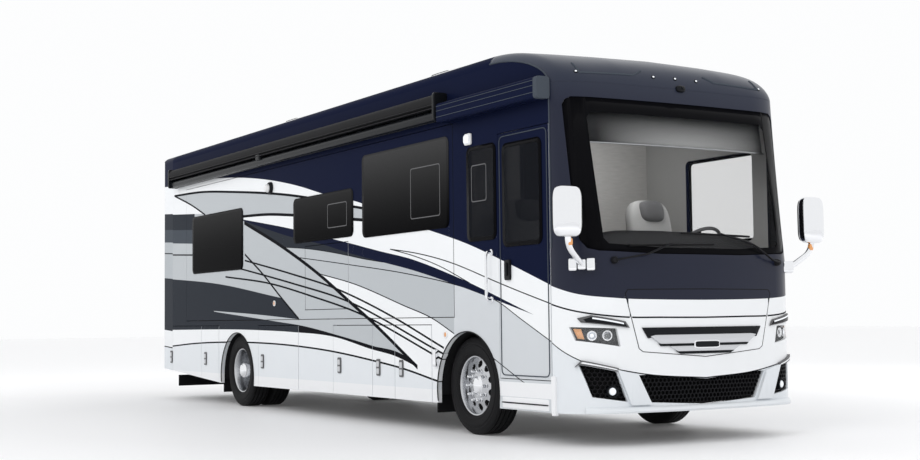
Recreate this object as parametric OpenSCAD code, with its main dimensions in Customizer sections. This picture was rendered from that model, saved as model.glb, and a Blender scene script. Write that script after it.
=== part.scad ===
// Class A motorhome with a rear engine, built as an assembly of named sub-parts.
// Frame: X forward, Y left, Z up, millimetres, origin under the middle of the bounding box on the road.

/* [Coach body] */
// Length from the rear cap to the lip of the front bumper
overall_length = 10760; // [10700:10:10900]
// Width over the side walls
body_width = 2578; // [2560:2:2600]
// Height of the roof's side edge
roof_height = 3550; // [3500:10:3600]
// Rise of the roof's crown above its side edge
roof_crown = 30; // [20:5:50]
// Height of the skirt's lower edge
skirt_height = 284; // [270:2:300]
// Top of the cabin floor
floor_height = 1116; // [1106:2:1126]
// Thickness of side walls, doors and caps
wall_t = 45; // [40:1:50]
// Clear seam round every door, lid and the slide-out room
seam_gap = 8; // [7:0.5:10]

/* [Front cap] */
// How far the bumper lip stands ahead of the cap's face
lip_reach = 65; // [50:5:80]
// Radius of the cap's bow across the coach
bow_radius = 6000; // [5500:100:7000]
// Radius of the cap's corners in plan
corner_radius = 450; // [430:5:470]
// Rake of the windscreen from upright, degrees
screen_rake = 11.17; // [10.5:0.1:12]
// Height of the seam below the windscreen
screen_sill = 1615; // [1605:5:1625]

/* [Running gear] */
// Distance between the axles
wheelbase = 5790; // [5750:10:5830]
// From the bumper lip to the front axle
front_overhang = 2015; // [2000:5:2030]
// Radius of every tyre
tyre_radius = 465; // [450:1:470]
// Width of every tyre
tyre_width = 255; // [245:1:260]
// Radius of the wheel's bead seat
rim_radius = 286; // [280:1:290]
// Half the front track
front_track = 1075; // [1065:1:1080]
// Middle of the outer rear tyre from the coach's middle
rear_track = 1105; // [1098:1:1108]
// Spacing of the twin rear tyres
twin_spacing = 292; // [285:1:300]
// Half the distance between the king pins
king_pin = 960; // [955:1:970]
// Half the distance between the frame rails' outer faces
rail_half = 480; // [470:5:490]

/* [Openings] */
// Radius of the front wheel arch
front_arch = 565; // [560:5:575]
// Radius of the rear wheel arch
rear_arch = 590; // [580:5:600]
// Top edge of the luggage doors
bay_top = 1042; // [1030:2:1046]
// Travel of the slide-out room
slide_travel = 700; // [600:10:720]
// Depth of the slide-out room
slide_depth = 820; // [790:10:850]
// Radius of the window corners
window_radius = 60; // [40:5:80]

/* [Fittings] */
// Depth of the door awning's case
awning_depth = 140; // [120:5:150]
// Radius of the patio awning's upper roll
awning_roll = 72; // [66:1:76]
// Height of the mirror heads
mirror_height = 440; // [400:10:460]
// Width of the mirror heads
mirror_width = 300; // [280:10:320]
// Height of the roof air conditioners
cooler_height = 320; // [280:10:340]
// Bore of the hitch pin in the receiver
hitch_pin = 16; // [15.5:0.1:16.5]

/* [Hidden] */
$fn = 72;
half_w = body_width / 2;
front_x = overall_length / 2;
rear_x = -overall_length / 2;
axle_f = front_x - front_overhang;
axle_r = axle_f - wheelbase;
face_x = front_x - lip_reach;
cap_x = axle_f + 1450;
brow_x = axle_f + 500;
rear_seam = rear_x + 460;
wall_top = roof_height - 110;
cap_low = roof_height - 240;
roof_top = roof_height + roof_crown;
inner_w = half_w - wall_t;
floor_t = 56;
pan_z = skirt_height + 6;
// Ledge between the upright skirt and the raked cab
cab_step = 4;
// Gap of a piece seated on a curved face
seat_gap = 0.3;
// Running gap of bearings and pins
bearing_gap = 0.6;
spindle_radius = 45;
axle_tube = 62;
// King pin boss: height of its ends above the road
pin_low = 385;
pin_high = 545;
pan_t = 30;

// A height above the floor, in step with the roof's height
function up(z) = floor_height + (z - floor_height) * (roof_height - floor_height) / (3550 - floor_height);
// How far the brow stands back as the roof rises
brow_back = (roof_height - 3550) * tan(screen_rake);

// Side openings in the row frame: x from, x to, z from, z to
LOW = 0;
HIGH = 1;
BASE = 2;
TOP = 3;
slide_hole = [axle_f - 7690, axle_f - 200, 1122, up(2992)];
entry_hole = [axle_f + 620, axle_f + 1441, 562, up(2792)];
rear_pane = [axle_f - 7425, axle_f - 5570, up(1788), up(2570)];
cab_pane = [axle_f + 80, axle_f + 575, up(1840), up(2718)];
slide_pane_a = [axle_f - 3945, axle_f - 2366, up(2036), up(2548)];
slide_pane_b = [axle_f - 2120, axle_f - 281, up(2003), up(2876)];
door_pane = [axle_f + 705, axle_f + 1322, up(1760), up(2684)];
driver_pane = [axle_f + 260, axle_f + 1250, up(1830), up(2700)];
left_pane = [axle_f - 2300, axle_f - 500, up(2003), up(2700)];
hatch_hole = [axle_f - 3630, axle_f - 2495, up(1233), up(1971)];

// Luggage doors: x from, x to
bays_right = [
  [rear_seam + 15, axle_f - 7094],
  [axle_f - 7094, axle_f - 6427],
  [axle_f - 5059, axle_f - 3838],
  [axle_f - 2883, axle_f - 1924],
  [axle_f - 1924, axle_f - 1417],
  [axle_f - 1417, axle_f - 642]
];
bays_left = [
  [rear_seam + 15, axle_f - 7094],
  [axle_f - 5059, axle_f - 3838],
  [axle_f - 2883, axle_f - 1924],
  [axle_f - 1417, axle_f - 642]
];

// Plane geometry with true arcs
function xy(q) = [q[0], q[1]];
function unit(v) = v / norm(v);
function before(p, i) = xy(p[(i + len(p) - 1) % len(p)]);
function after(p, i) = xy(p[(i + 1) % len(p)]);
function side_a(p, i) = unit(before(p, i) - xy(p[i]));
function side_b(p, i) = unit(after(p, i) - xy(p[i]));
function half_sin(p, i) = sqrt((1 - side_a(p, i) * side_b(p, i)) / 2);
function bisector(p, i) = unit(side_a(p, i) + side_b(p, i));
// A convex outline moved inwards by t, its corner radii with it
function inset(p, t) = [
  for (i = [0 : len(p) - 1])
    let (move = bisector(p, i) * t / half_sin(p, i))
    [p[i][0] + move[0], p[i][1] + move[1], p[i][2] > 0 ? max(p[i][2] - t, 0) : 0]
];
function rect(o, r) = [[o[LOW], o[BASE], r], [o[HIGH], o[BASE], r], [o[HIGH], o[TOP], r], [o[LOW], o[TOP], r]];
function grown(o, g) = [o[LOW] - g, o[HIGH] + g, o[BASE] - g, o[TOP] + g];

// What is taken off corner i to leave a tangent arc
module corner_waste(p, i) {
  v = xy(p[i]);
  r = p[i][2];
  s = half_sin(p, i);
  t = r * sqrt(1 - s * s) / s;
  b = bisector(p, i);
  difference() {
    polygon([v + side_a(p, i) * t, v - b * 30, v + side_b(p, i) * t]);
    translate(v + b * r / s) rotate(atan2(b[1], b[0])) circle(r = r, $fn = r > 1000 ? 900 : r > 150 ? 240 : 72);
  }
}

// A polygon of [x, y, corner radius]
module rounded(p) {
  difference() {
    polygon([for (q = p) xy(q)]);
    for (i = [0 : len(p) - 1])
      if (p[i][2] > 0) corner_waste(p, i);
  }
}

module box(lo, hi) {
  translate(lo) cube(hi - lo);
}

// A drawing in X and Z carried from y0 to y1
module along_y(y0, y1) {
  translate([0, y1, 0]) rotate([90, 0, 0]) linear_extrude(y1 - y0) children();
}

// A drawing in Y and Z carried from x0 to x1
module along_x(x0, x1) {
  translate([x0, 0, 0]) rotate([90, 0, 90]) linear_extrude(x1 - x0) children();
}

// A round bar between two points
module rod(a, b, r) {
  d = b - a;
  l = norm(d);
  translate(a) rotate([0, acos(d[2] / l), atan2(d[1], d[0])]) cylinder(h = l, r = r);
}

module both_sides() {
  children();
  mirror([0, 1, 0]) children();
}

// Outlines of the coach
bow_tilt = 8.6;
plan_apex = face_x + bow_radius * (1 / cos(bow_tilt) - 1);
plan_side = plan_apex - half_w * tan(bow_tilt);
front_plan = [
  [cap_x - 1000, -half_w, 0],
  [plan_side, -half_w, corner_radius],
  [plan_apex, 0, bow_radius],
  [plan_side, half_w, corner_radius],
  [cap_x - 1000, half_w, 0]
];
brow_profile = [
  [brow_x - 600, 1200, 0],
  [face_x + 100, 1200, 0],
  [axle_f + 1638 - brow_back, roof_top - 368, 0],
  [axle_f + 1590 - brow_back, roof_top - 263, 0],
  [axle_f + 1510 - brow_back, roof_top - 180, 0],
  [axle_f + 1405 - brow_back, roof_top - 132, 0],
  [axle_f + 1135 - brow_back, roof_top - 74, 0],
  [axle_f + 835 - brow_back, roof_top - 30, 0],
  [axle_f + 500 - brow_back, roof_top, 0],
  [brow_x - 600, roof_top, 0]
];
roof_section = [
  [-half_w, skirt_height - 60, 0],
  [half_w, skirt_height - 60, 0],
  [half_w, roof_height, 100],
  [0, roof_top, 9000],
  [-half_w, roof_height, 100]
];
edge_section = [
  [-half_w - 60, 800, 0],
  [half_w + 60, 800, 0],
  [half_w + 60, roof_height - 120, 0],
  [half_w - 90, roof_top + 20, 0],
  [-half_w + 90, roof_top + 20, 0],
  [-half_w - 60, roof_height - 120, 0]
];
rear_plan = [
  [rear_x, -half_w, 120],
  [rear_seam, -half_w, 0],
  [rear_seam, half_w, 0],
  [rear_x, half_w, 120]
];
rear_profile = [
  [rear_x, skirt_height + 146, 0],
  [rear_seam, skirt_height + 119, 0],
  [rear_seam, roof_top + 40, 0],
  [rear_x + 20, roof_top + 40, 260]
];

// The cap's shell in plan between two insets, ahead of x = back
module plan_ring(t0, t1, back) {
  intersection() {
    difference() {
      rounded(inset(front_plan, t0));
      rounded(inset(front_plan, t1));
    }
    translate([back, -half_w - 50]) square([2000, body_width + 100]);
  }
}

// Upright shell below the windscreen's sill
module skirt_ring(t0, t1) {
  translate([0, 0, skirt_height]) linear_extrude(screen_sill - skirt_height) plan_ring(t0, t1, cap_x);
}

// A plan drawing carried up the windscreen's rake
module raked() {
  translate([face_x, 0, screen_sill]) rotate([0, -screen_rake, 0]) translate([-face_x, 0, -250])
    linear_extrude(2600) children();
}

// Raked cab above the sill, inset by t, under the brow
module cab_body(t) {
  intersection() {
    raked() rounded(inset(front_plan, t));
    along_y(-half_w - 100, half_w + 100) rounded(inset(brow_profile, t));
    along_x(axle_f - 200, front_x + 100) rounded(inset(edge_section, t));
  }
}

// Front views, y then z
screen_hole = [[-1130, 1694, 0], [-1050, 1668, 0], [-450, 1643, 0], [450, 1643, 0], [1050, 1668, 0], [1130, 1694, 0],
  [1158, 1760, 0], [1190, up(2930), 0], [1130, up(3000), 0], [-1130, up(3000), 0], [-1190, up(2930), 0],
  [-1158, 1760, 0]];
hood_hole = [[-660, 803, 0], [0, 752, 0], [660, 803, 0], [700, 830, 0], [826, 1300, 0], [800, 1336, 0],
  [-800, 1336, 0], [-826, 1300, 0], [-700, 830, 0]];
lamp_hole = [[899, 862, 0], [1208, 912, 0], [1236, 1016, 0], [908, 1006, 0]];
fog_hole = [[825, 382, 0], [1105, 425, 0], [1185, 560, 0], [1170, 615, 0], [925, 650, 0]];

module lower_grille_shape() {
  polygon([[-588, 368], [0, 336], [588, 368], [718, 604], [640, 606], [0, 556], [-640, 606], [-718, 604]]);
}

module front_view(p) {
  along_x(cap_x + 40, front_x + 100) rounded(p);
}

module front_pair(p) {
  both_sides() front_view(p);
}

// Front cap with its openings and the bumper's lip
module front_cap() {
  color([0.13, 0.15, 0.2]) {
    difference() {
      skirt_ring(0, wall_t);
      front_view(inset(hood_hole, -seam_gap));
      front_pair(lamp_hole);
      front_pair(fog_hole);
      along_x(cap_x + 40, front_x + 100) lower_grille_shape();
    }
    difference() {
      cab_body(cab_step);
      cab_body(cab_step + wall_t);
      box([0, -half_w - 200, 0], [front_x + 200, half_w + 200, screen_sill]);
      box([0, -half_w - 200, 0], [cap_x, half_w + 200, cap_low]);
      box([0, -half_w - 200, 0], [brow_x, half_w + 200, roof_top + 100]);
      front_view(screen_hole);
    }
    bumper_lip();
    // Stop behind the hood's edge
    intersection() {
      skirt_ring(wall_t, wall_t + 14);
      difference() {
        front_view(inset(hood_hole, -45));
        front_view(inset(hood_hole, 38));
      }
    }
  }
}

module bumper_lip() {
  intersection() {
    difference() {
      translate([lip_reach, 0, skirt_height]) linear_extrude(42) rounded(front_plan);
      translate([lip_reach - 100, 0, skirt_height - 1]) linear_extrude(60) rounded(front_plan);
    }
    box([cap_x + 200, -1150, 0], [front_x + 10, 1150, 400]);
  }
}

module windscreen() {
  color([0.1, 0.12, 0.14, 0.5]) intersection() {
    raked() plan_ring(6, 20, cap_x - 600);
    front_view(screen_hole);
  }
}

module headlamps() {
  color([0.85, 0.87, 0.9]) intersection() {
    skirt_ring(3, 60);
    front_pair(lamp_hole);
  }
}

module bumper_grilles() {
  color([0.03, 0.03, 0.03]) intersection() {
    skirt_ring(20, 40);
    union() {
      front_pair(fog_hole);
      along_x(cap_x + 40, front_x + 100) lower_grille_shape();
    }
  }
}

// Lid over the front service bay, hinged along its top edge
module front_hood() {
  color([0.75, 0.76, 0.78]) {
    intersection() {
      skirt_ring(0, 5);
      front_view(hood_hole);
    }
    intersection() {
      skirt_ring(3, wall_t);
      front_view(inset(hood_hole, 27));
    }
  }
}

// Rear of the coach inset by t
module rear_body(t) {
  intersection() {
    linear_extrude(roof_top + 60) rounded(inset(rear_plan, t));
    along_y(-half_w - 1, half_w + 1) rounded(inset(rear_profile, t));
    along_x(rear_x - 10, rear_seam + 10) rounded(inset(roof_section, t));
  }
}

hatch_back = [[-760, 780, 40], [760, 780, 40], [760, 1720, 40], [-760, 1720, 40]];
tail_hole = [[905, 900, 30], [1130, 900, 30], [1130, 1420, 30], [905, 1420, 30]];

tail_pipe_z = 530;

module rear_view(p) {
  along_x(rear_x - 20, rear_x + 150) rounded(p);
}

module rear_cap() {
  color([0.9, 0.9, 0.9]) difference() {
    rear_body(0);
    intersection() {
      translate([200, 0, 0]) rear_body(wall_t);
      box([rear_x, -half_w, 0], [rear_seam + 300, half_w, roof_top]);
    }
    rear_body(wall_t);
    box([rear_x + 100, -inner_w, 0], [rear_seam + 10, inner_w, 700]);
    rear_view(inset(hatch_back, -seam_gap));
    both_sides() rear_view(tail_hole);
    rod([rear_x - 20, -300, tail_pipe_z], [rear_x + 150, -300, tail_pipe_z], 62);
  }
  // Stop behind the engine hatch's edge
  color([0.9, 0.9, 0.9]) along_x(rear_x + wall_t, rear_x + wall_t + 12) difference() {
    rounded(inset(hatch_back, -45));
    rounded(inset(hatch_back, 25));
  }
}

module engine_hatch() {
  color([0.85, 0.85, 0.86]) intersection() {
    box([rear_x, -900, 700], [rear_x + wall_t, 900, 1800]);
    rear_view(hatch_back);
  }
}

module tail_lamps() {
  color([0.6, 0.03, 0.03]) intersection() {
    box([rear_x + 4, -half_w, 700], [rear_x + wall_t, half_w, 1800]);
    both_sides() rear_view(tail_hole);
  }
}

// Side walls, drawn in X and Z
function skirt_at(x) = skirt_height + max(0, (axle_f - 6318 - x) * 0.061);

module wall_outline() {
  polygon([
    [rear_seam, skirt_at(rear_seam)],
    [axle_f - 6318, skirt_height],
    [cap_x, skirt_height],
    [cap_x, cap_low],
    [brow_x, cap_low],
    [brow_x, wall_top],
    [rear_seam, wall_top]
  ]);
}

module arch_outline(x, r) {
  translate([x, 980 - r]) circle(r = r);
  translate([x - r, 0]) square([2 * r, 980 - r]);
}

module bay_cut(b) {
  polygon([
    [b[LOW] - seam_gap / 2, 0],
    [b[HIGH] + seam_gap / 2, 0],
    [b[HIGH] + seam_gap / 2, bay_top + seam_gap],
    [b[LOW] - seam_gap / 2, bay_top + seam_gap]
  ]);
}

module bay_leaf(b) {
  x0 = b[LOW] + seam_gap / 2;
  x1 = b[HIGH] - seam_gap / 2;
  polygon([[x0, skirt_at(x0)], [x1, skirt_at(x1)], [x1, bay_top], [x0, bay_top]]);
}

module pane(o) {
  rounded(rect(o, window_radius));
}

module right_wall() {
  color([0.2, 0.22, 0.28]) along_y(-half_w, -inner_w) difference() {
    wall_outline();
    for (b = bays_right) bay_cut(b);
    arch_outline(axle_f + 35, front_arch);
    arch_outline(axle_r + 20, rear_arch);
    rounded(rect(grown(slide_hole, seam_gap), 0));
    translate([entry_hole[LOW] - seam_gap, entry_hole[BASE] - seam_gap])
      square([1200, entry_hole[TOP] - entry_hole[BASE] + 2 * seam_gap]);
    pane(cab_pane);
  }
}

module left_wall() {
  color([0.2, 0.22, 0.28]) along_y(inner_w, half_w) difference() {
    wall_outline();
    for (b = bays_left) bay_cut(b);
    arch_outline(axle_f + 35, front_arch);
    arch_outline(axle_r + 20, rear_arch);
    pane(rear_pane);
    pane(left_pane);
    pane(driver_pane);
  }
}

glass_in = 12;
glass_t = 10;

module side_windows() {
  color([0.06, 0.07, 0.09, 0.5]) {
    along_y(-half_w + glass_in, -half_w + glass_in + glass_t) pane(cab_pane);
    along_y(half_w - glass_in - glass_t, half_w - glass_in) {
      pane(rear_pane);
      pane(left_pane);
      pane(driver_pane);
    }
  }
}

module bay_right(i) {
  color([0.45, 0.46, 0.5]) along_y(-half_w, -inner_w) bay_leaf(bays_right[i]);
}

module bay_left(i) {
  color([0.45, 0.46, 0.5]) along_y(inner_w, half_w) bay_leaf(bays_left[i]);
}

module bay_right_1() { bay_right(0); }
module bay_right_2() { bay_right(1); }
module bay_right_3() { bay_right(2); }
module bay_right_4() { bay_right(3); }
module bay_right_5() { bay_right(4); }
module bay_right_6() { bay_right(5); }
module bay_left_1() { bay_left(0); }
module bay_left_2() { bay_left(1); }
module bay_left_3() { bay_left(2); }
module bay_left_4() { bay_left(3); }

module entry_door() {
  color([0.2, 0.22, 0.28]) along_y(-half_w, -inner_w) difference() {
    rounded(rect(entry_hole, 0));
    pane(door_pane);
  }
}

module entry_glass() {
  color([0.06, 0.07, 0.09, 0.5]) along_y(-half_w + glass_in, -half_w + glass_in + glass_t) pane(door_pane);
}

// Slide-out room: an open-backed box behind a flush outer wall
slide_in = -half_w + slide_depth;

module slide_room() {
  o = slide_hole;
  t = 35;
  color([0.2, 0.22, 0.28]) {
    difference() {
      along_y(-half_w, slide_in) rounded(rect(o, 0));
      along_y(-inner_w, slide_in + 1) rounded(rect(grown(o, -t), 0));
      along_y(-half_w - 1, -inner_w + 1) {
        pane(rear_pane);
        pane(slide_pane_a);
        pane(slide_pane_b);
        rounded(rect(grown(hatch_hole, seam_gap), 0));
      }
    }
    // Stop behind the hatch's edge
    along_y(-inner_w, -inner_w + 12) difference() {
      rounded(rect(grown(hatch_hole, 40), 0));
      rounded(rect(grown(hatch_hole, -25), 0));
    }
  }
}

module slide_glass() {
  color([0.06, 0.07, 0.09, 0.5]) along_y(-half_w + glass_in, -half_w + glass_in + glass_t) {
    pane(rear_pane);
    pane(slide_pane_a);
    pane(slide_pane_b);
  }
}

module tv_hatch() {
  color([0.5, 0.5, 0.52]) along_y(-half_w, -inner_w) rounded(rect(hatch_hole, 0));
}

module roof_shell() {
  color([0.9, 0.9, 0.9]) intersection() {
    along_x(rear_seam, brow_x) difference() {
      rounded(roof_section);
      rounded(inset(roof_section, wall_t));
    }
    box([rear_x, -half_w - 1, wall_top], [front_x, half_w + 1, roof_top + 50]);
  }
}

// Floor, step well and luggage bays
well = [entry_hole[LOW] - 20, cap_x - 20, -inner_w, -640];

module floor_deck() {
  color([0.35, 0.33, 0.3]) {
    difference() {
      box([rear_x + 120, -inner_w, floor_height - floor_t], [cap_x - 30, inner_w, floor_height]);
      box([well[0], -inner_w - 1, 0], [cap_x, well[3], floor_height + 1]);
    }
    for (x = [axle_f - 7400, axle_f - 4950, axle_f - 2700, axle_f - 450])
      box([x - 40, -inner_w + 20, floor_height - 1], [x + 40, slide_in + 60, slide_hole[BASE] - 0.3]);
  }
}

module entry_steps() {
  color([0.12, 0.12, 0.13]) difference() {
    box([well[0] - 25, -inner_w, 480], [cap_x - 30, well[3], floor_height - floor_t]);
    box([well[0], -inner_w - 1, 540], [cap_x - 55, -1000, floor_height]);
    box([well[0], -1001, 830], [cap_x - 55, well[3] - 25, floor_height]);
  }
}

bulkheads_mid = [axle_f - 5135, axle_f - 3838, axle_f - 2883, axle_f - 1924, axle_f - 1417, axle_f - 665];
bulk_t = 24;

module bay_box(x0, x1, z0, walls) {
  z1 = floor_height - floor_t;
  box([x0, -inner_w, z0], [x1, inner_w, z0 + pan_t]);
  both_sides() {
    box([x0, rail_half + 20, z0], [x1, rail_half + 44, z1]);
    for (x = walls) box([x - bulk_t / 2, rail_half + 20, z0], [x + bulk_t / 2, inner_w, z1]);
  }
}

module storage_bays() {
  color([0.2, 0.2, 0.21]) {
    bay_box(axle_f - 5147, axle_f - 653, pan_z, bulkheads_mid);
    bay_box(rear_x + 470, axle_f - 6410, skirt_height + 125, [rear_x + 482, axle_f - 7094, axle_f - 6422]);
  }
}

// Chassis
module chassis_frame() {
  color([0.06, 0.06, 0.065]) {
    both_sides() {
      box([rear_x + 170, rail_half - 60, 640], [cap_x - 60, rail_half, 880]);
      box([rear_x + 170, rail_half - 60, 330], [rear_x + 290, rail_half - 20, 660]);
    }
    for (x = [rear_x + 200, axle_r - 620, axle_r + 620, 600, axle_f - 700, axle_f + 700, cap_x - 120])
      box([x - 40, -rail_half + 20, 700], [x + 40, rail_half - 20, 830]);
    both_sides() for (x = [-4100, -1500, 0, 1500, 2600])
      box([x - 40, rail_half - 10, 820], [x + 40, rail_half + 20, 1060]);
    difference() {
      union() {
        box([rear_x + 190, -rail_half + 20, 330], [rear_x + 270, rail_half - 20, 400]);
        box([rear_x + 40, -38, 327], [rear_x + 260, 38, 403]);
      }
      box([rear_x, -25.5, 339.5], [rear_x + 230, 25.5, 390.5]);
      rod([rear_x + 95, -60, 365], [rear_x + 95, 60, 365], hitch_pin / 2);
    }
  }
}

module front_axle() {
  color([0.07, 0.07, 0.07]) {
    box([axle_f - 55, -king_pin + 20, 405], [axle_f + 55, king_pin - 20, 525]);
    both_sides() translate([axle_f, king_pin, pin_low + bearing_gap])
      cylinder(h = pin_high - pin_low - 2 * bearing_gap, r = 42);
  }
}

module knuckle(s) {
  y = s * king_pin;
  color([0.1, 0.1, 0.1]) {
    translate([axle_f, y, pin_high]) cylinder(h = 36, r = 62);
    translate([axle_f, y, pin_low - 36]) cylinder(h = 36, r = 62);
    intersection() {
      translate([axle_f, y, 349]) cylinder(h = 232, r = 62);
      box([axle_f - 62, min(s * (king_pin + 47), s * 1200), 340],
        [axle_f + 62, max(s * (king_pin + 47), s * 1200), 600]);
    }
    rod([axle_f, s * (king_pin + 52), tyre_radius], [axle_f, s * (front_track + 85), tyre_radius],
      spindle_radius);
  }
}

module knuckle_right() { knuckle(-1); }
module knuckle_left() { knuckle(1); }

module rear_axle() {
  color([0.07, 0.07, 0.07]) {
    rod([axle_r, -rear_track - 60, tyre_radius], [axle_r, rear_track + 60, tyre_radius], axle_tube);
    translate([axle_r, 0, tyre_radius]) sphere(r = 215);
    rod([axle_r - 680, 0, 620], [axle_r - 150, 0, tyre_radius + 20], 55);
  }
}

module air_suspension() {
  color([0.05, 0.05, 0.05]) both_sides() {
    translate([axle_f, rail_half + 97, 525]) cylinder(h = 295, r = 85);
    box([axle_f - 90, rail_half, 800], [axle_f + 90, 650, 830]);
    for (dx = [-340, 340]) {
      translate([axle_r + dx, rail_half + 97, 390]) cylinder(h = 430, r = 85);
      box([axle_r + dx - 90, rail_half, 800], [axle_r + dx + 90, 640, 830]);
    }
    box([axle_r - 450, 520, 340], [axle_r + 450, 620, 395]);
    box([axle_r - 60, 520, 340], [axle_r + 60, 620, tyre_radius - axle_tube - seat_gap]);
  }
}

module engine() {
  color([0.25, 0.25, 0.26]) {
    box([rear_x + 420, -380, 520], [axle_r - 1250, 380, 1040]);
    rod([axle_r - 1260, 0, 650], [axle_r - 700, 0, 650], 185);
    both_sides() box([rear_x + 620, 370, 700], [rear_x + 760, rail_half - 60 - seat_gap, 800]);
    rod([rear_x + 900, -300, tail_pipe_z], [rear_x + 30, -300, tail_pipe_z], 50);
  }
}

// Wheels and tyres turned about Y
module turned(x, y) {
  translate([x, y, tyre_radius]) rotate([90, 0, 0]) rotate_extrude() children();
}

module tyre_section(dy) {
  w = tyre_width / 2;
  translate([0, dy]) rounded([
    [rim_radius, -w + 22, 0],
    [rim_radius + 60, -w, 30],
    [tyre_radius - 55, -w, 50],
    [tyre_radius, -w + 22, 20],
    [tyre_radius, w - 22, 20],
    [tyre_radius - 55, w, 50],
    [rim_radius + 60, w, 30],
    [rim_radius, w - 22, 0]
  ]);
}

module tyre_front(s) {
  color([0.03, 0.03, 0.03]) turned(axle_f, s * front_track) tyre_section(0);
}

module tyre_front_right() { tyre_front(-1); }
module tyre_front_left() { tyre_front(1); }

module tyre_rear(s) {
  color([0.03, 0.03, 0.03]) {
    turned(axle_r, s * rear_track) tyre_section(0);
    turned(axle_r, s * (rear_track - twin_spacing)) tyre_section(0);
  }
}

module tyre_rear_right() { tyre_rear(-1); }
module tyre_rear_left() { tyre_rear(1); }

// Rim barrel: r from, r to, half width
module barrel(dy) {
  w = tyre_width / 2 - 22;
  translate([rim_radius - 24, dy - w]) square([24, 2 * w]);
}

// Front disc wheel, the disc near the outer face, with ten hand holes
module wheel_front(s) {
  color([0.75, 0.76, 0.78]) difference() {
    union() {
      turned(axle_f, s * front_track) barrel(0);
      turned(axle_f, s * (front_track + 62)) translate([0, -9]) square([rim_radius - 20, 18]);
      rod([axle_f, s * (front_track - 10), tyre_radius], [axle_f, s * (front_track + 105), tyre_radius], 88);
    }
    rod([axle_f, s * (front_track - 20), tyre_radius], [axle_f, s * (front_track + 92), tyre_radius],
      spindle_radius + bearing_gap);
    for (i = [0 : 9]) translate([axle_f, s * (front_track + 62), tyre_radius])
      rotate([0, 36 * i, 0]) translate([210, 0, 0]) rotate([90, 0, 0]) cylinder(h = 60, r = 28, center = true);
  }
}

module wheel_front_right() { wheel_front(-1); }
module wheel_front_left() { wheel_front(1); }

// Rear wheel pair on one hub, the outer disc deep in its barrel
module wheel_rear(s) {
  mid = rear_track - twin_spacing / 2;
  color([0.75, 0.76, 0.78]) difference() {
    union() {
      turned(axle_r, s * rear_track) barrel(0);
      turned(axle_r, s * (rear_track - twin_spacing)) barrel(0);
      turned(axle_r, s * mid) translate([0, -20]) square([rim_radius - 40, 40]);
      turned(axle_r, s * mid) translate([rim_radius - 60, -60]) square([40, 120]);
      rod([axle_r, s * (mid - 60), tyre_radius], [axle_r, s * (rear_track + 90), tyre_radius], 100);
    }
    rod([axle_r, s * (mid - 80), tyre_radius], [axle_r, s * (rear_track + 72), tyre_radius],
      axle_tube + bearing_gap);
    for (i = [0 : 9]) translate([axle_r, s * mid, tyre_radius])
      rotate([0, 36 * i, 0]) translate([190, 0, 0]) rotate([90, 0, 0]) cylinder(h = 80, r = 28, center = true);
  }
}

module wheel_rear_right() { wheel_rear(-1); }
module wheel_rear_left() { wheel_rear(1); }

module mud_flaps() {
  color([0.03, 0.03, 0.03]) {
    both_sides() {
      box([axle_f - 640, 830, 180], [axle_f - 625, inner_w - 10, floor_height - floor_t]);
      box([axle_r - 605, 700, 160], [axle_r - 590, inner_w - 10, floor_height - floor_t]);
    }
    box([rear_x + 330, -1150, 170], [rear_x + 342, 1150, 330]);
    both_sides() box([rear_x + 310, rail_half - 50, 300], [rear_x + 360, rail_half - 10, 640]);
  }
}

// Outside fittings
module grab_rail() {
  x = axle_f + 490;
  color([0.8, 0.8, 0.82]) {
    rod([x, -half_w - 55, 1262], [x, -half_w - 55, 1726], 14);
    for (z = [1275, 1713]) rod([x, -half_w, z], [x, -half_w - 60, z], 12);
  }
}

// The cap's corner in plan: its arc's centre, and a point at a turn from straight ahead
corner_centre = xy(front_plan[3]) + bisector(front_plan, 3) * corner_radius / half_sin(front_plan, 3);
function on_corner(turn, out) = corner_centre + (corner_radius + out) * [cos(turn), sin(turn)];

mirror_turn = 51;
mirror_foot = 1550;
mirror_x = axle_f + 1856;
mirror_y = 1400;
mirror_z = 1990;

module mirror_one() {
  h = mirror_height / 2;
  w = mirror_width / 2;
  color([0.8, 0.81, 0.83]) {
    along_x(mirror_x - 55, mirror_x + 75) rounded([
      [mirror_y - w, mirror_z - h, 60],
      [mirror_y + w, mirror_z - h, 60],
      [mirror_y + w, mirror_z + h, 90],
      [mirror_y - w, mirror_z + h, 90]
    ]);
    rod([mirror_x, mirror_y, mirror_z - h + 20], [mirror_x, mirror_y - 25, 1700], 22);
    rod([mirror_x, mirror_y - 25, 1706], concat(on_corner(mirror_turn, 35), mirror_foot), 24);
    rod(concat(on_corner(mirror_turn, 60), mirror_foot), concat(on_corner(mirror_turn, seat_gap), mirror_foot), 50);
  }
}

module mirrors() {
  both_sides() mirror_one();
}

function bow_x(y) = face_x - bow_radius + sqrt(bow_radius * bow_radius - y * y);

wiper_x = face_x + 42;
wiper_shaft = 24;

module wiper(y, len, tilt) {
  translate([wiper_x, y, 1590]) rotate([0, -screen_rake, 0]) {
    rotate([tilt, 0, 0]) {
      box([-8, -14, 0], [8, 14, len * 0.62]);
      translate([-14, 0, len * 0.6]) rotate([-8, 0, 0]) box([-14, -9, -430], [10, 9, 430]);
    }
  }
  rod([wiper_x + 8, y, 1586], [bow_x(abs(y) - wiper_shaft) + seat_gap, y, 1586], wiper_shaft);
}

module wipers() {
  color([0.02, 0.02, 0.02]) {
    wiper(-930, 900, -76);
    wiper(930, 900, 76);
  }
}

module patio_awning() {
  x0 = axle_f - 8070;
  x1 = axle_f - 292;
  y = -half_w;
  color([0.02, 0.02, 0.02]) {
    box([x0, y - 26, up(3045)], [x1, y, up(3305)]);
    rod([x0, y - 84, up(3236)], [x1, y - 84, up(3236)], awning_roll);
    rod([x0, y - 70, up(3094)], [x1, y - 70, up(3094)], 56);
    for (x = [x0, axle_f - 4770, x1 - 40]) box([x, y - 150, up(3040)], [x + 40, y, up(3315)]);
  }
}

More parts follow.
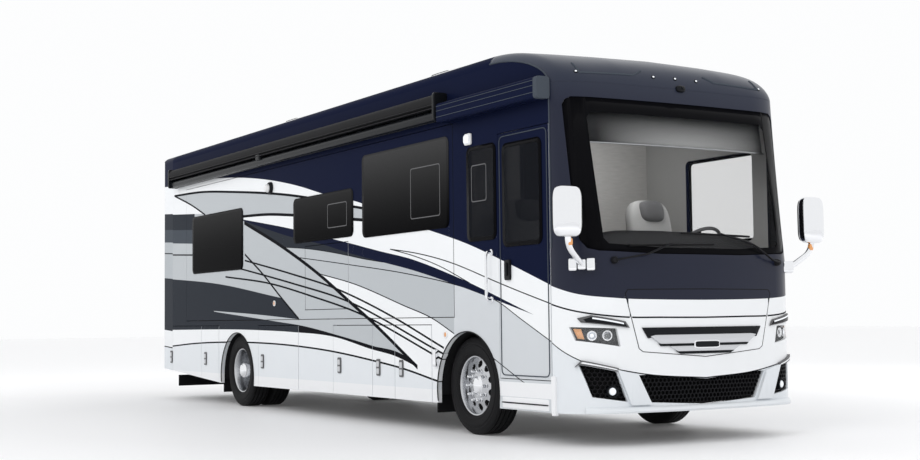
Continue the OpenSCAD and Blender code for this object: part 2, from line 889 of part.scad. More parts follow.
module door_awning() {
  x0 = axle_f - 270;
  x1 = axle_f + 1475;
  y = -half_w;
  color([0.05, 0.06, 0.12]) along_x(x0, x1) rounded([
    [y - awning_depth, up(3004), 30], [y, up(3004), 0], [y, up(3200), 0], [y - awning_depth, up(3200), 20]]);
}

// The crown's top, where its arc passes below the two slopes' meeting
roof_seat = roof_top - 4500 * pow(roof_crown / half_w, 2) + 0.3;

module roof_units() {
  top = roof_top + cooler_height;
  color([0.92, 0.92, 0.92]) {
    for (x = [1500, -2600]) along_y(-420, 420) polygon([
      [x - 520, roof_seat], [x + 520, roof_seat], [x + 490, top - 130], [x + 400, top - 20],
      [x + 350, top], [x - 470, top], [x - 520, top - 50]]);
    for (x = [3200, -600, -4100]) box([x - 210, -210, roof_seat], [x + 210, 210, roof_top + 110]);
  }
}

// Middle lamps: a place on the brow's first slope, and that slope's turn from upright
brow_lamp = xy(brow_profile[2]) * 0.65 + xy(brow_profile[3]) * 0.35;
brow_rise = xy(brow_profile[3]) - xy(brow_profile[2]);
brow_slope = atan2(brow_rise[1], -brow_rise[0]);

// Corner lamps: a place up the raked corner
corner_lamp = 1691 + (roof_height - 3550) / cos(screen_rake);

module marker_lamps() {
  color([0.9, 0.6, 0.2]) {
    for (y = [-251, 0, 251]) translate([brow_lamp[0], y, brow_lamp[1]]) rotate([0, brow_slope, 0])
      translate([0, 0, seat_gap - cab_step]) cylinder(h = 26, r = 26);
    both_sides() translate([face_x, 0, screen_sill]) rotate([0, -screen_rake, 0])
      translate(concat(on_corner(33, seat_gap - cab_step) - [face_x, 0], corner_lamp)) rotate([0, 90, 33])
        cylinder(h = 26, r = 26);
    both_sides() {
      box([axle_f - 4590, half_w, 1060], [axle_f - 4500, half_w + 14, 1096]);
      box([axle_f + 560, half_w, 930], [axle_f + 600, half_w + 14, 966]);
    }
    box([axle_f + 60, -half_w - 30, up(2760)], [axle_f + 150, -half_w, up(2850)]);
  }
}

// Inside the cab
wheel_place = [axle_f + 1170, 620, 1790];
wheel_tilt = 40;
wheel_hub = 30;

module steering_column() {
  translate(wheel_place) rotate([0, -wheel_tilt, 0]) translate([0, 0, -wheel_hub - bearing_gap - 260])
    cylinder(h = 260, r = 34);
}

module dashboard() {
  color([0.08, 0.08, 0.09]) steering_column();
  color([0.08, 0.08, 0.09]) intersection() {
    linear_extrude(2000) rounded(inset(front_plan, wall_t + 25));
    along_y(-1150, 1150) rounded([
      [cap_x - 200, floor_height, 0], [cap_x + 290, floor_height, 0], [cap_x + 290, 1600, 0],
      [cap_x - 60, 1640, 60], [cap_x - 230, 1560, 60], [cap_x - 200, 1400, 0]]);
    box([0, -620, 0], [front_x, 1150, 2000]);
  }
}

module seat(x, y) {
  translate([x, y, 0]) {
    box([-60, -60, floor_height], [60, 60, floor_height + 330]);
    along_y(-260, 260) rounded([[-260, floor_height + 320, 40], [270, floor_height + 320, 60],
      [270, floor_height + 470, 60], [-260, floor_height + 470, 30]]);
    along_y(-240, 240) rounded([[-300, floor_height + 330, 30], [-190, floor_height + 330, 30],
      [-330, floor_height + 1130, 50], [-450, floor_height + 1130, 50]]);
  }
}

module cab_seats() {
  color([0.5, 0.49, 0.47]) {
    seat(axle_f + 750, 620);
    seat(axle_f + 420, -640);
  }
}

module steering_wheel() {
  color([0.04, 0.04, 0.04]) translate(wheel_place) rotate([0, -wheel_tilt, 0]) {
    rotate_extrude() translate([215, 0]) circle(r = 17);
    translate([0, 0, -wheel_hub]) cylinder(h = wheel_hub + 15, r = 60);
    for (a = [90, 210, 330]) rotate([0, 0, a]) box([40, -16, -10], [210, 16, 10]);
  }
}

module cabin_furniture() {
  color([0.35, 0.22, 0.13]) {
    along_y(-inner_w + seat_gap, inner_w - seat_gap) polygon([[axle_f + 900, wall_top - 360],
      [axle_f + 1130, wall_top - 360], [axle_f + 1150, wall_top - 340], [axle_f + 1110, cap_low - 20],
      [axle_f + 900, cap_low - 20]]);
    box([axle_f - 420, 420, floor_height], [axle_f - 380, inner_w - seat_gap, wall_top - 10]);
    box([axle_f - 160, -inner_w + 60, floor_height], [axle_f - 120, -560, wall_top - 440]);
  }
}

chassis_frame();
front_axle();
rear_axle();
air_suspension();
engine();
floor_deck();
storage_bays();
entry_steps();
front_cap();
rear_cap();
right_wall();
left_wall();
roof_shell();
windscreen();
side_windows();
headlamps();
bumper_grilles();
tail_lamps();
marker_lamps();
mirrors();
wipers();
patio_awning();
door_awning();
roof_units();
dashboard();
cab_seats();
cabin_furniture();
mud_flaps();
grab_rail();
entry_door();
entry_glass();
slide_room();
slide_glass();
tv_hatch();
bay_right_1();
bay_right_2();
bay_right_3();
bay_right_4();
bay_right_5();
bay_right_6();
bay_left_1();
bay_left_2();
bay_left_3();
bay_left_4();
front_hood();
engine_hatch();
steering_wheel();
knuckle_right();
knuckle_left();
wheel_front_right();
tyre_front_right();
wheel_front_left();
tyre_front_left();
wheel_rear_right();
tyre_rear_right();
wheel_rear_left();
tyre_rear_left();
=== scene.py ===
"""Looks of a bus-shaped motorhome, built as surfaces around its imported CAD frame."""

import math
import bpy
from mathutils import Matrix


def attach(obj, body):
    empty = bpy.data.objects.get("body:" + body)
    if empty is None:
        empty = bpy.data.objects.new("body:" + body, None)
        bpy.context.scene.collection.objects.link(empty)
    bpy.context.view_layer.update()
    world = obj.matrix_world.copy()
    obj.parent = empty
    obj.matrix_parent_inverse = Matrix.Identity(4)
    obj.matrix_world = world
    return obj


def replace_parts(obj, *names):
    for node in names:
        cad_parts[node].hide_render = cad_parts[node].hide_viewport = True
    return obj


bl_info = {
    "name": "Motorhome looks",
    "version": (1, 0, 0),
    "blender": (4, 5, 0),
    "location": "3D View > Sidebar > Coach",
    "description": "Paint, glass, cap, wheels and cabin of a motorhome around its CAD frame",
    "category": "Object",
}

import bmesh
import bpy
import numpy as np
from mathutils import Matrix

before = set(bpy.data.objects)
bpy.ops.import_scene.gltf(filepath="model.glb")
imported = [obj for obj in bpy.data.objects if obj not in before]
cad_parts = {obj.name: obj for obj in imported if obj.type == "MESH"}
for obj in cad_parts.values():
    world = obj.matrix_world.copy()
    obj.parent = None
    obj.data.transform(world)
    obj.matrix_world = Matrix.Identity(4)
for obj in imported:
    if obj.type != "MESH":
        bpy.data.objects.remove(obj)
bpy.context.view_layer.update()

# The gap between a layer's two columns, the least height of a quad, the tint of an opening, a full turn
HAIR = 1e-4
FLAT = 1e-6
HOLE = -1
TURN = 2 * math.pi

# Ends and a height beyond the walls, a reach beyond the cap, and a step wider than the cap
REAR, FORE, TOP = -5.4, 5, 4
WIDE = 2
MARKS_ONLY = 9

# Sign of Y and name of each side
SIDES = ((-1, "right"), (1, "left"))


def linear(r, g, b):
    """A screen colour of 0 to 255 in linear light: the standard curve of screens, undone."""
    c = np.array([r, g, b]) / 255
    return tuple(np.where(c <= 0.04045, c / 12.92, ((c + 0.055) / 1.055) ** 2.4).tolist())


def length(name, words, default):
    """A size in metres for the sidebar."""
    return bpy.props.FloatProperty(name=name, description=words, default=default, unit="LENGTH")


def colour(name, words, *rgb):
    """A paint colour for the sidebar, given as a screen colour."""
    return bpy.props.FloatVectorProperty(
        name=name, description=words, default=linear(*rgb), size=3, min=0, max=1, subtype="COLOR"
    )


class CoachSizes(bpy.types.PropertyGroup):
    """Sizes of the coach's outside, in the frame's axes."""

    half: length("Half width", "From the middle to a side wall's outer face", 1.289)
    face_x: length("Front face", "Foremost line of the cap", 5.315)
    cap_x: length("Cap seam", "Where the side walls meet the cap", 4.815)
    brow_x: length("Brow seam", "Where the roof meets the cap", 3.865)
    bow: length("Bow", "Radius of the front face in plan", 6.0)
    corner: length("Corner", "Radius of the cap's corners in plan", 0.45)
    sill: length("Sill", "Height where the cap begins to lean back", 1.615)
    brow_low: length("Brow", "Height where the cap begins to roll over the roof", 3.15)
    roof: length("Roof", "Height of the roof's crown", 3.58)
    skirt: length("Skirt", "Height of the body's lower edge", 0.284)
    lift: length("Film lift", "Distance of the paint film from the wall", 0.0011)
    film: length("Film", "Thickness of the paint film", 0.0006)
    step: length("Column", "Widest step between the film's columns", 0.03)
    front_axle: length("Front axle", "Place of the front axle", 3.365)
    rear_axle: length("Rear axle", "Place of the rear axle", -2.425)
    tyre: length("Tyre", "Radius of the tyres", 0.465)
    tyre_width: length("Tyre width", "Width of a tyre", 0.255)
    rim: length("Rim", "Radius of the rims", 0.286)


class CoachPaints(bpy.types.PropertyGroup):
    """Colours of the coach's paint."""

    grey: colour("Grey", "Middle of the side", 180, 185, 189)
    mist: colour("Mist", "Lower side near the door", 203, 207, 211)
    white: colour("White", "Sweeps and front", 238, 240, 242)
    navy: colour("Navy", "Upper side", 18, 24, 48)
    charcoal: colour("Charcoal", "Dark fields at the rear", 46, 50, 57)
    slate: colour("Slate", "Lighter dark fields", 72, 78, 86)
    black: colour("Black", "Lines", 16, 17, 22)
    pearl: colour("Pearl", "Lower skirt and bumper", 224, 228, 232)
    silver: colour("Silver", "Bright band along the skirt", 235, 236, 238)
    front: colour("Front navy", "Front face", 27, 31, 48)
    brow: colour("Brow", "Top of the front cap", 50, 56, 70)


# Paints in the order of their numbers
PAINTS = ("grey", "mist", "white", "navy", "charcoal", "slate", "black", "pearl", "silver", "front")
GREY, MIST, WHITE, NAVY, CHARCOAL, SLATE, BLACK, PEARL, SILVER, FRONT = range(10)


def sizes():
    """The sizes set in the sidebar."""
    return bpy.context.scene.coach_sizes


def paints():
    """The paint colours set in the sidebar."""
    return bpy.context.scene.coach_paints


class Value:
    """A shader socket that takes part in arithmetic."""

    def __init__(self, shade, socket):
        self.shade = shade
        self.socket = socket

    def math(self, operation, *others):
        """A math node with this value first."""
        return self.shade.node("ShaderNodeMath", {"operation": operation}, (self, *others))

    def __add__(self, other):
        return self.math("ADD", other)

    __radd__ = __add__

    def __mul__(self, other):
        return self.math("MULTIPLY", other)

    __rmul__ = __mul__

    def __sub__(self, other):
        return self.math("SUBTRACT", other)

    def __rsub__(self, other):
        return self * -1 + other

    def __truediv__(self, other):
        return self.math("DIVIDE", other)

    def __rtruediv__(self, other):
        return self.shade.node("ShaderNodeMath", {"operation": "DIVIDE"}, (other, self))

    def __gt__(self, other):
        return self.math("GREATER_THAN", other)

    def clamped(self):
        """This value kept between 0 and 1."""
        return self.math("MINIMUM", 1.0).math("MAXIMUM", 0.0)


class Shade:
    """A material in the making: one principled shader and the nodes that feed it."""

    def __init__(self, name):
        self.material = bpy.data.materials.new(name)
        self.material.use_nodes = True
        self.tree = self.material.node_tree
        self.inputs = self.tree.nodes["Principled BSDF"].inputs

    def node(self, kind, settings=None, sockets=(), out=0):
        """A new node with its settings, then its sockets, by name or by order; gives one output."""
        made = self.tree.nodes.new(kind)
        for key, value in (settings or {}).items():
            setattr(made, key, value)
        pairs = sockets.items() if isinstance(sockets, dict) else enumerate(sockets)
        for key, value in pairs:
            self.feed(made.inputs[key], value)
        return Value(self, made.outputs[out])

    def feed(self, socket, value):
        """Sets a socket to a number or links a value to it."""
        if isinstance(value, Value):
            self.tree.links.new(value.socket, socket)
        else:
            socket.default_value = value

    def dress(self, values):
        """Sets or links the principled shader's sockets by their names."""
        for name, value in values.items():
            self.feed(self.inputs[name], value)

    def place(self):
        """The object's own coordinates."""
        return self.node("ShaderNodeTexCoord", out="Object")

    def along(self, axis):
        """One of the object's own coordinates."""
        return self.node("ShaderNodeSeparateXYZ", None, (self.place(),), axis)

    def noise(self, scale, stretch=(1, 1, 1)):
        """Soft noise about zero, stretched along the axes."""
        spot = self.node("ShaderNodeVectorMath", {"operation": "MULTIPLY"}, (self.place(), stretch))
        return self.node("ShaderNodeTexNoise", None, {"Vector": spot, "Scale": scale, "Detail": 3}) - 0.5

    def mix(self, share, first, second):
        """A colour between two."""
        return self.node(
            "ShaderNodeMix",
            {"data_type": "RGBA"},
            {"Factor": share, 6: first, 7: second},
            2,
        )

    def scaled(self, tint, share):
        """A colour made lighter or darker by a share."""
        return self.node("ShaderNodeVectorMath", {"operation": "SCALE"}, {"Vector": tint, "Scale": share})


def finish(
    name, tint, rough=0.35, metal=0.0, coat=0.0, grain=0.05, scale=30.0, bump=0.0, alpha=1.0, glow=0.0,
    stretch=(1, 1, 1), shine=0.5, ior=1.5, waver=0.1, coat_rough=0.06,
):
    """A material whose colour and roughness waver with noise; made once for each name.

    The tint is a colour, or a function that makes one with the material's own nodes.
    """
    known = bpy.data.materials.get(name)
    if known:
        return known
    shade = Shade(name)
    noise = shade.noise(scale, stretch)
    base = tint(shade) if callable(tint) else tuple(tint)
    shade.dress({
        "Base Color": shade.scaled(base, noise * grain + 1),
        "Roughness": noise * waver + rough,
        "Metallic": metal,
        "Coat Weight": coat,
        "Coat Roughness": coat_rough,
        "Specular IOR Level": shine,
        "IOR": ior,
        "Alpha": alpha,
    })
    if glow:
        shade.dress({"Emission Color": (*base, 1), "Emission Strength": glow})
    if bump:
        height = {"Height": noise, "Strength": bump, "Distance": 0.004}
        shade.dress({"Normal": shade.node("ShaderNodeBump", None, height)})
    return shade.material


def paint(name):
    """Body paint of a named colour; the pale ones have a thin clear coat."""
    dark = name in ("navy", "front", "black", "charcoal", "slate")
    shine, ior, coat = (0.3, 1.07, 0.0) if dark else (0.18, 1.5, 0.2)
    return finish("paint_" + name, getattr(paints(), name), 0.34, 0, coat, 0.04, 3.0, shine=shine, ior=ior)


# Finishes of fittings, rubber, metal, glass and cloth
LOOKS = {
    "chrome": dict(tint=(0.86, 0.87, 0.89), rough=0.09, metal=1, grain=0.03),
    "polished": dict(tint=(0.55, 0.56, 0.58), rough=0.24, metal=1, grain=0.05),
    "brushed": dict(tint=(0.6, 0.61, 0.63), rough=0.3, metal=1, scale=60, stretch=(1, 0.05, 1)),
    "tyre": dict(tint=(0.011, 0.011, 0.012), rough=0.6, grain=0.3, scale=80, bump=0.25, shine=0.4, ior=1.2),
    "rubber": dict(tint=(0.01, 0.01, 0.011), rough=0.6, grain=0.2, shine=0.3, ior=1.25),
    "plastic": dict(tint=(0.011, 0.011, 0.013), rough=0.45, grain=0.2, scale=200, bump=0.06, shine=0.12),
    "gloss": dict(tint=(0.007, 0.008, 0.01), rough=0.25, grain=0.1, shine=0.4, ior=1.25),
    "frame": dict(tint=(0.022, 0.022, 0.024), rough=0.55, grain=0.3, scale=12, bump=0.1),
    "cast": dict(tint=(0.12, 0.12, 0.125), rough=0.5, metal=0.4, grain=0.3, scale=25, bump=0.2),
    "liner": dict(tint=(0.01, 0.01, 0.011), rough=0.8, grain=0.3, scale=60, bump=0.15, shine=0.2),
    "wood": dict(tint=(0.66, 0.65, 0.63), rough=0.35, grain=0.35, scale=9, stretch=(1, 1, 9), coat=0.2),
    "deck": dict(tint=(0.24, 0.2, 0.16), rough=0.5, grain=0.5, scale=6, stretch=(1, 8, 1)),
    "leather": dict(tint=(0.62, 0.62, 0.61), rough=0.5, grain=0.15, scale=160, bump=0.3),
    "leather_dark": dict(tint=(0.2, 0.2, 0.205), rough=0.5, grain=0.2, scale=160, bump=0.3),
    "dash": dict(tint=(0.03, 0.03, 0.032), rough=0.6, grain=0.25, scale=180, bump=0.2),
    "lining": dict(tint=(0.55, 0.55, 0.54), rough=0.7, grain=0.1, scale=20),
    "pod": dict(tint=(0.82, 0.82, 0.82), rough=0.4, grain=0.05, scale=12),
    "glass": dict(tint=(0.006, 0.007, 0.009), rough=0.14, grain=0.2, alpha=0.97, shine=0.05),
    "glass_cab": dict(tint=(0.008, 0.009, 0.012), rough=0.14, grain=0.2, alpha=0.8, shine=0.3, ior=1.08),
    "glass_light": dict(tint=(0.6, 0.62, 0.64), rough=0.05, grain=0.1, alpha=0.1, shine=0.2),
    "screen": dict(tint=(0.012, 0.014, 0.017), rough=0.04, grain=0.2, alpha=0.12, shine=0.15),
    "frit": dict(tint=(0.004, 0.004, 0.005), rough=0.16, grain=0.2, shine=0.4, ior=1.1),
    "lens": dict(tint=(0.85, 0.88, 0.9), rough=0.04, grain=0.05, alpha=0.06, shine=0.25),
    "lamp": dict(tint=(0.9, 0.93, 0.97), rough=0.1, grain=0.05, glow=0.15),
    "red": dict(tint=(0.42, 0.012, 0.012), rough=0.14, grain=0.2, scale=120, coat=0.5),
    "amber": dict(tint=(0.8, 0.36, 0.12), rough=0.14, grain=0.15, scale=120, coat=0.5),
}


def material(look):
    """A material by the name of a paint or a finish; a material itself is passed on."""
    if not isinstance(look, str):
        return look
    if look in PAINTS:
        return paint(look)
    return finish("look_" + look, **LOOKS[look])


def grid(rows, cols, closed=False):
    """Quads of a grid of points kept row after row; closed joins the last column to the first."""
    r, c = np.meshgrid(np.arange(rows - 1), np.arange(cols - (not closed)), indexing="ij")
    d = (c + 1) % cols
    return np.stack([r * cols + c, r * cols + d, (r + 1) * cols + d, (r + 1) * cols + c], -1).reshape(-1, 4)


def piece(name, body, surfaces, thick=0.0, angle=35, soft=0.0, lining=None):
    """One object of surfaces (points, quads, look), riding a body.

    A look is a material or its name, or a list of these with an index for each quad. A lining is the
    look of a thick sheet's inner side. A thick sheet keeps its quads' direction, and surfaces without a
    thickness, which are closed, are turned outward.
    """
    points, quads, marks, looks = [], [], [], []
    start = 0
    for spots, faces, look in surfaces:
        spots = np.reshape(spots, (-1, 3))
        many, index = look if isinstance(look, tuple) else ([look], np.zeros(len(faces), int))
        points.append(spots)
        quads.append(faces + start)
        marks.append(np.asarray(index) + len(looks))
        looks += [material(each) for each in many]
        start += len(spots)
    mesh = bpy.data.meshes.new(name)
    mesh.from_pydata(np.concatenate(points).tolist(), [], np.concatenate(quads).tolist())
    for look in looks:
        mesh.materials.append(look)
    mesh.polygons.foreach_set("material_index", np.concatenate(marks).astype(np.int32))
    work = bmesh.new()
    work.from_mesh(mesh)
    bmesh.ops.remove_doubles(work, verts=work.verts, dist=2e-5)
    bmesh.ops.dissolve_degenerate(work, edges=work.edges, dist=1e-6)
    if not thick:
        bmesh.ops.recalc_face_normals(work, faces=work.faces)
    work.to_mesh(mesh)
    work.free()
    mesh.shade_smooth()
    mesh.set_sharp_from_angle(angle=math.radians(angle))
    made = bpy.data.objects.new(name, mesh)
    bpy.context.scene.collection.objects.link(made)
    if thick:
        solid = made.modifiers.new("Thickness", "SOLIDIFY")
        solid.thickness = thick
        solid.offset = -1
        if lining:
            mesh.materials.append(material(lining))
            solid.material_offset = len(looks)
    if soft:
        edge = made.modifiers.new("Edge", "BEVEL")
        edge.width = soft
        edge.segments = 2
        edge.limit_method = "ANGLE"
    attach(made, body)
    return made


def unit(v):
    """Vectors of length one along the last axis."""
    return v / np.maximum(np.linalg.norm(v, axis=-1, keepdims=True), 1e-9)


def tube(path, radius, look, sides=16, flat=1.0, up=(0.0, 0.0, 1.0)):
    """A closed tube: an ellipse carried along a path, its ends drawn to a point.

    The ellipse lies across the path's slope, flattened along the up direction.
    """
    path = np.asarray(path, float)
    path = np.concatenate([path[:1], path, path[-1:]])
    reach = np.full(len(path), radius, float)
    reach[[0, -1]] = 0
    slope = unit(np.gradient(path[1:-1], axis=0))
    slope = np.concatenate([slope[:1], slope, slope[-1:]])
    across = unit(np.cross(slope, up))
    over = np.cross(across, slope)
    t = np.arange(sides) * TURN / sides
    ring = np.cos(t)[None, :, None] * across[:, None] + flat * np.sin(t)[None, :, None] * over[:, None]
    points = path[:, None] + reach[:, None, None] * ring
    return points, grid(len(path), sides, True), look


def bend(*corners, radius=0.05, steps=7):
    """A path through corners, each rounded by a parabola that starts and ends radius from it."""
    corners = np.asarray(corners, float)
    parts = [corners[:1]]
    t = np.linspace(0, 1, steps)[:, None]
    for a, b, c in zip(corners[:-2], corners[1:-1], corners[2:]):
        p = b + unit(a - b) * radius
        q = b + unit(c - b) * radius
        parts.append(p * (1 - t) ** 2 + 2 * b * t * (1 - t) + q * t * t)
    return np.concatenate(parts + [corners[-1:]])


def turned(profile, centre, axis, look, steps=64, arc=(0.0, TURN)):
    """A profile of (radius, height) turned about an axis through a centre, starting towards X."""
    profile = np.asarray(profile, float)
    axis = unit(np.asarray(axis, float))
    first = unit(np.array([1.0, 0.0, 0.0]) - axis * axis[0])
    second = np.cross(axis, first)
    whole = abs(arc[1] - arc[0] - TURN) < 1e-9
    t = np.linspace(*arc, steps, endpoint=not whole)
    ring = np.cos(t)[:, None] * first + np.sin(t)[:, None] * second
    points = centre + profile[:, 0, None, None] * ring[None] + profile[:, 1, None, None] * axis
    return points, grid(len(profile), steps, whole), look


def bulge(centre, half, look, tall=0.3, plan=0.3, basis=np.eye(3), steps=(20, 40)):
    """A superellipsoid: cosines and sines of two angles raised to the powers tall and plan."""
    v = np.linspace(-math.pi / 2, math.pi / 2, steps[0])[:, None]
    u = np.arange(steps[1]) * TURN / steps[1]

    def power(x, e):
        return np.sign(x) * np.abs(x) ** e

    ring = power(np.cos(v), tall)
    ring[[0, -1]] = 0
    local = np.stack(
        [
            half[0] * ring * power(np.cos(u), plan),
            half[1] * ring * power(np.sin(u), plan),
            half[2] * power(np.sin(v), tall) * np.ones_like(u),
        ],
        -1,
    )
    return np.asarray(centre) + local @ np.asarray(basis), grid(*steps, True), look


def bar(outline, x0, x1, look, round_off=0.0):
    """A closed outline in Y and Z carried along X, its ends drawn to the outline's middle."""
    outline = np.asarray(outline, float)
    middle = outline.mean(0)
    shares = np.array([0, 1 - round_off, 1, 1, 1 - round_off, 0])
    places = np.array([x0, x0, x0 + round_off, x1 - round_off, x1, x1])
    flat = middle + shares[:, None, None] * (outline - middle)
    points = np.concatenate([np.broadcast_to(places[:, None, None], (*flat.shape[:2], 1)), flat], -1)
    return points, grid(len(places), len(outline), True), look


def oblong(y0, y1, z0, z1, r, steps=6):
    """Outline of a rectangle with rounded corners."""
    t = np.linspace(0, math.pi / 2, steps)
    parts = []
    for turn, (y, z) in enumerate(((y1 - r, z1 - r), (y0 + r, z1 - r), (y0 + r, z0 + r), (y1 - r, z0 + r))):
        a = t + turn * math.pi / 2
        parts.append(np.stack([y + r * np.cos(a), z + r * np.sin(a)], -1))
    return np.concatenate(parts)


def curve(*points):
    """A smooth height over x: cubic pieces with the points' mean slopes, level beyond the ends."""
    x, z = np.array(points).T
    slope = np.gradient(z, x)

    def at(u):
        u = np.clip(u, x[0], x[-1])
        i = np.clip(np.searchsorted(x, u) - 1, 0, len(x) - 2)
        h = x[i + 1] - x[i]
        t = (u - x[i]) / h
        rise = z[i] * (1 + 2 * t) * (1 - t) ** 2 + z[i + 1] * t * t * (3 - 2 * t)
        return rise + h * (slope[i] * t * (1 - t) ** 2 + slope[i + 1] * t * t * (t - 1))

    return at


def chain(*points):
    """A height over x of straight pieces between points."""
    x, z = np.array(points).T
    return lambda u: np.interp(u, x, z)


def level(edge, u):
    """An edge's height at u: a curve's, or a constant."""
    return edge(u) if callable(edge) else np.full(np.shape(u), float(edge))


def field(tint, start, end, low, high, marks=()):
    """A layer of the film: a paint from start to end between two edges."""
    return tint, start, end, low, high, marks


def stripe(tint, middle, width, start, end):
    """A layer of even height about a curve."""
    return field(tint, start, end, lambda u: middle(u) - width / 2, lambda u: middle(u) + width / 2)


def hole(x0, x1, z0, z1, r=0.0, tint=HOLE):
    """A rectangle left open, its corners rounded by quarter circles."""
    if not r:
        return field(tint, x0, x1, z0, z1)

    def drop(u):
        d = np.clip(np.minimum(u - x0, x1 - u), 0, r)
        return r - np.sqrt(r * r - (r - d) ** 2)

    shares = np.array([0.04, 0.15, 0.33, 0.6, 1]) * r
    marks = (*(x0 + shares), *(x1 - shares))
    return field(tint, x0, x1, lambda u: z0 + drop(u), lambda u: z1 - drop(u), marks)


def widened(box, g):
    """A rectangle moved out by g on all sides."""
    x0, x1, z0, z1 = box
    return x0 - g, x1 + g, z0 - g, z1 + g


def arch_hole(x, z, r):
    """A wheel arch left open: all below a circle."""
    shares = r * np.array([0.004, 0.015, 0.04, 0.08, 0.14])
    marks = (*(x - r + shares), *(x + r - shares))
    return field(HOLE, x - r, x + r, 0, lambda u: z + np.sqrt(np.maximum(r * r - (u - x) ** 2, 0)), marks)


def film(start, end, low, high, layers, place, step):
    """A painted sheet: columns from start to end, rows at the sorted edges of all layers.

    A layer's end has two columns, a hair apart on both sides of it. Each quad takes the paint of the last
    layer that covers its middle. Open quads are left out, and hair-wide ones beside an opening with them.
    """
    sides = np.array([m for row in layers for m in row[1:3]])
    extra = np.array([m for row in layers for m in row[5]])
    even = np.linspace(start, end, int((end - start) / step) + 2)
    u = np.unique(np.concatenate([even, extra, sides - HAIR, sides + HAIR]).round(6))
    u = np.unique(np.clip(u, start, end))
    base, top = level(low, u), level(high, u)
    rows = [base, top]
    for _, a, b, z0, z1, _ in layers:
        inside = (u >= a) & (u <= b)
        rows += [np.where(inside, np.clip(level(z, u), base, top), base) for z in (z0, z1)]
    z = np.sort(np.stack(rows), axis=0)
    u = np.broadcast_to(u, z.shape)
    quads = grid(*z.shape)
    quad_u, quad_z = u.ravel()[quads], z.ravel()[quads]
    mid_u, mid_z = quad_u.mean(1), quad_z.mean(1)
    tints = np.zeros(len(quads), int)
    beside = np.zeros(len(quads), bool)
    for tint, a, b, z0, z1, _ in layers:
        below, above = level(z0, mid_u), level(z1, mid_u)
        tints[(mid_u > a) & (mid_u < b) & (mid_z > below) & (mid_z < above)] = tint
        if tint == HOLE:
            across = (mid_u > a - 2 * HAIR) & (mid_u < b + 2 * HAIR)
            beside |= across & (quad_z.max(1) > below + HAIR) & (quad_z.min(1) < above - HAIR)
    sliver = beside & (np.ptp(quad_u, axis=1) < 3 * HAIR)
    tall = np.abs(quad_z[:, [3, 2]] - quad_z[:, [0, 1]]).max(1) > FLAT
    keep = (tints != HOLE) & tall & ~sliver
    return place(u, z), quads[keep], tints[keep]


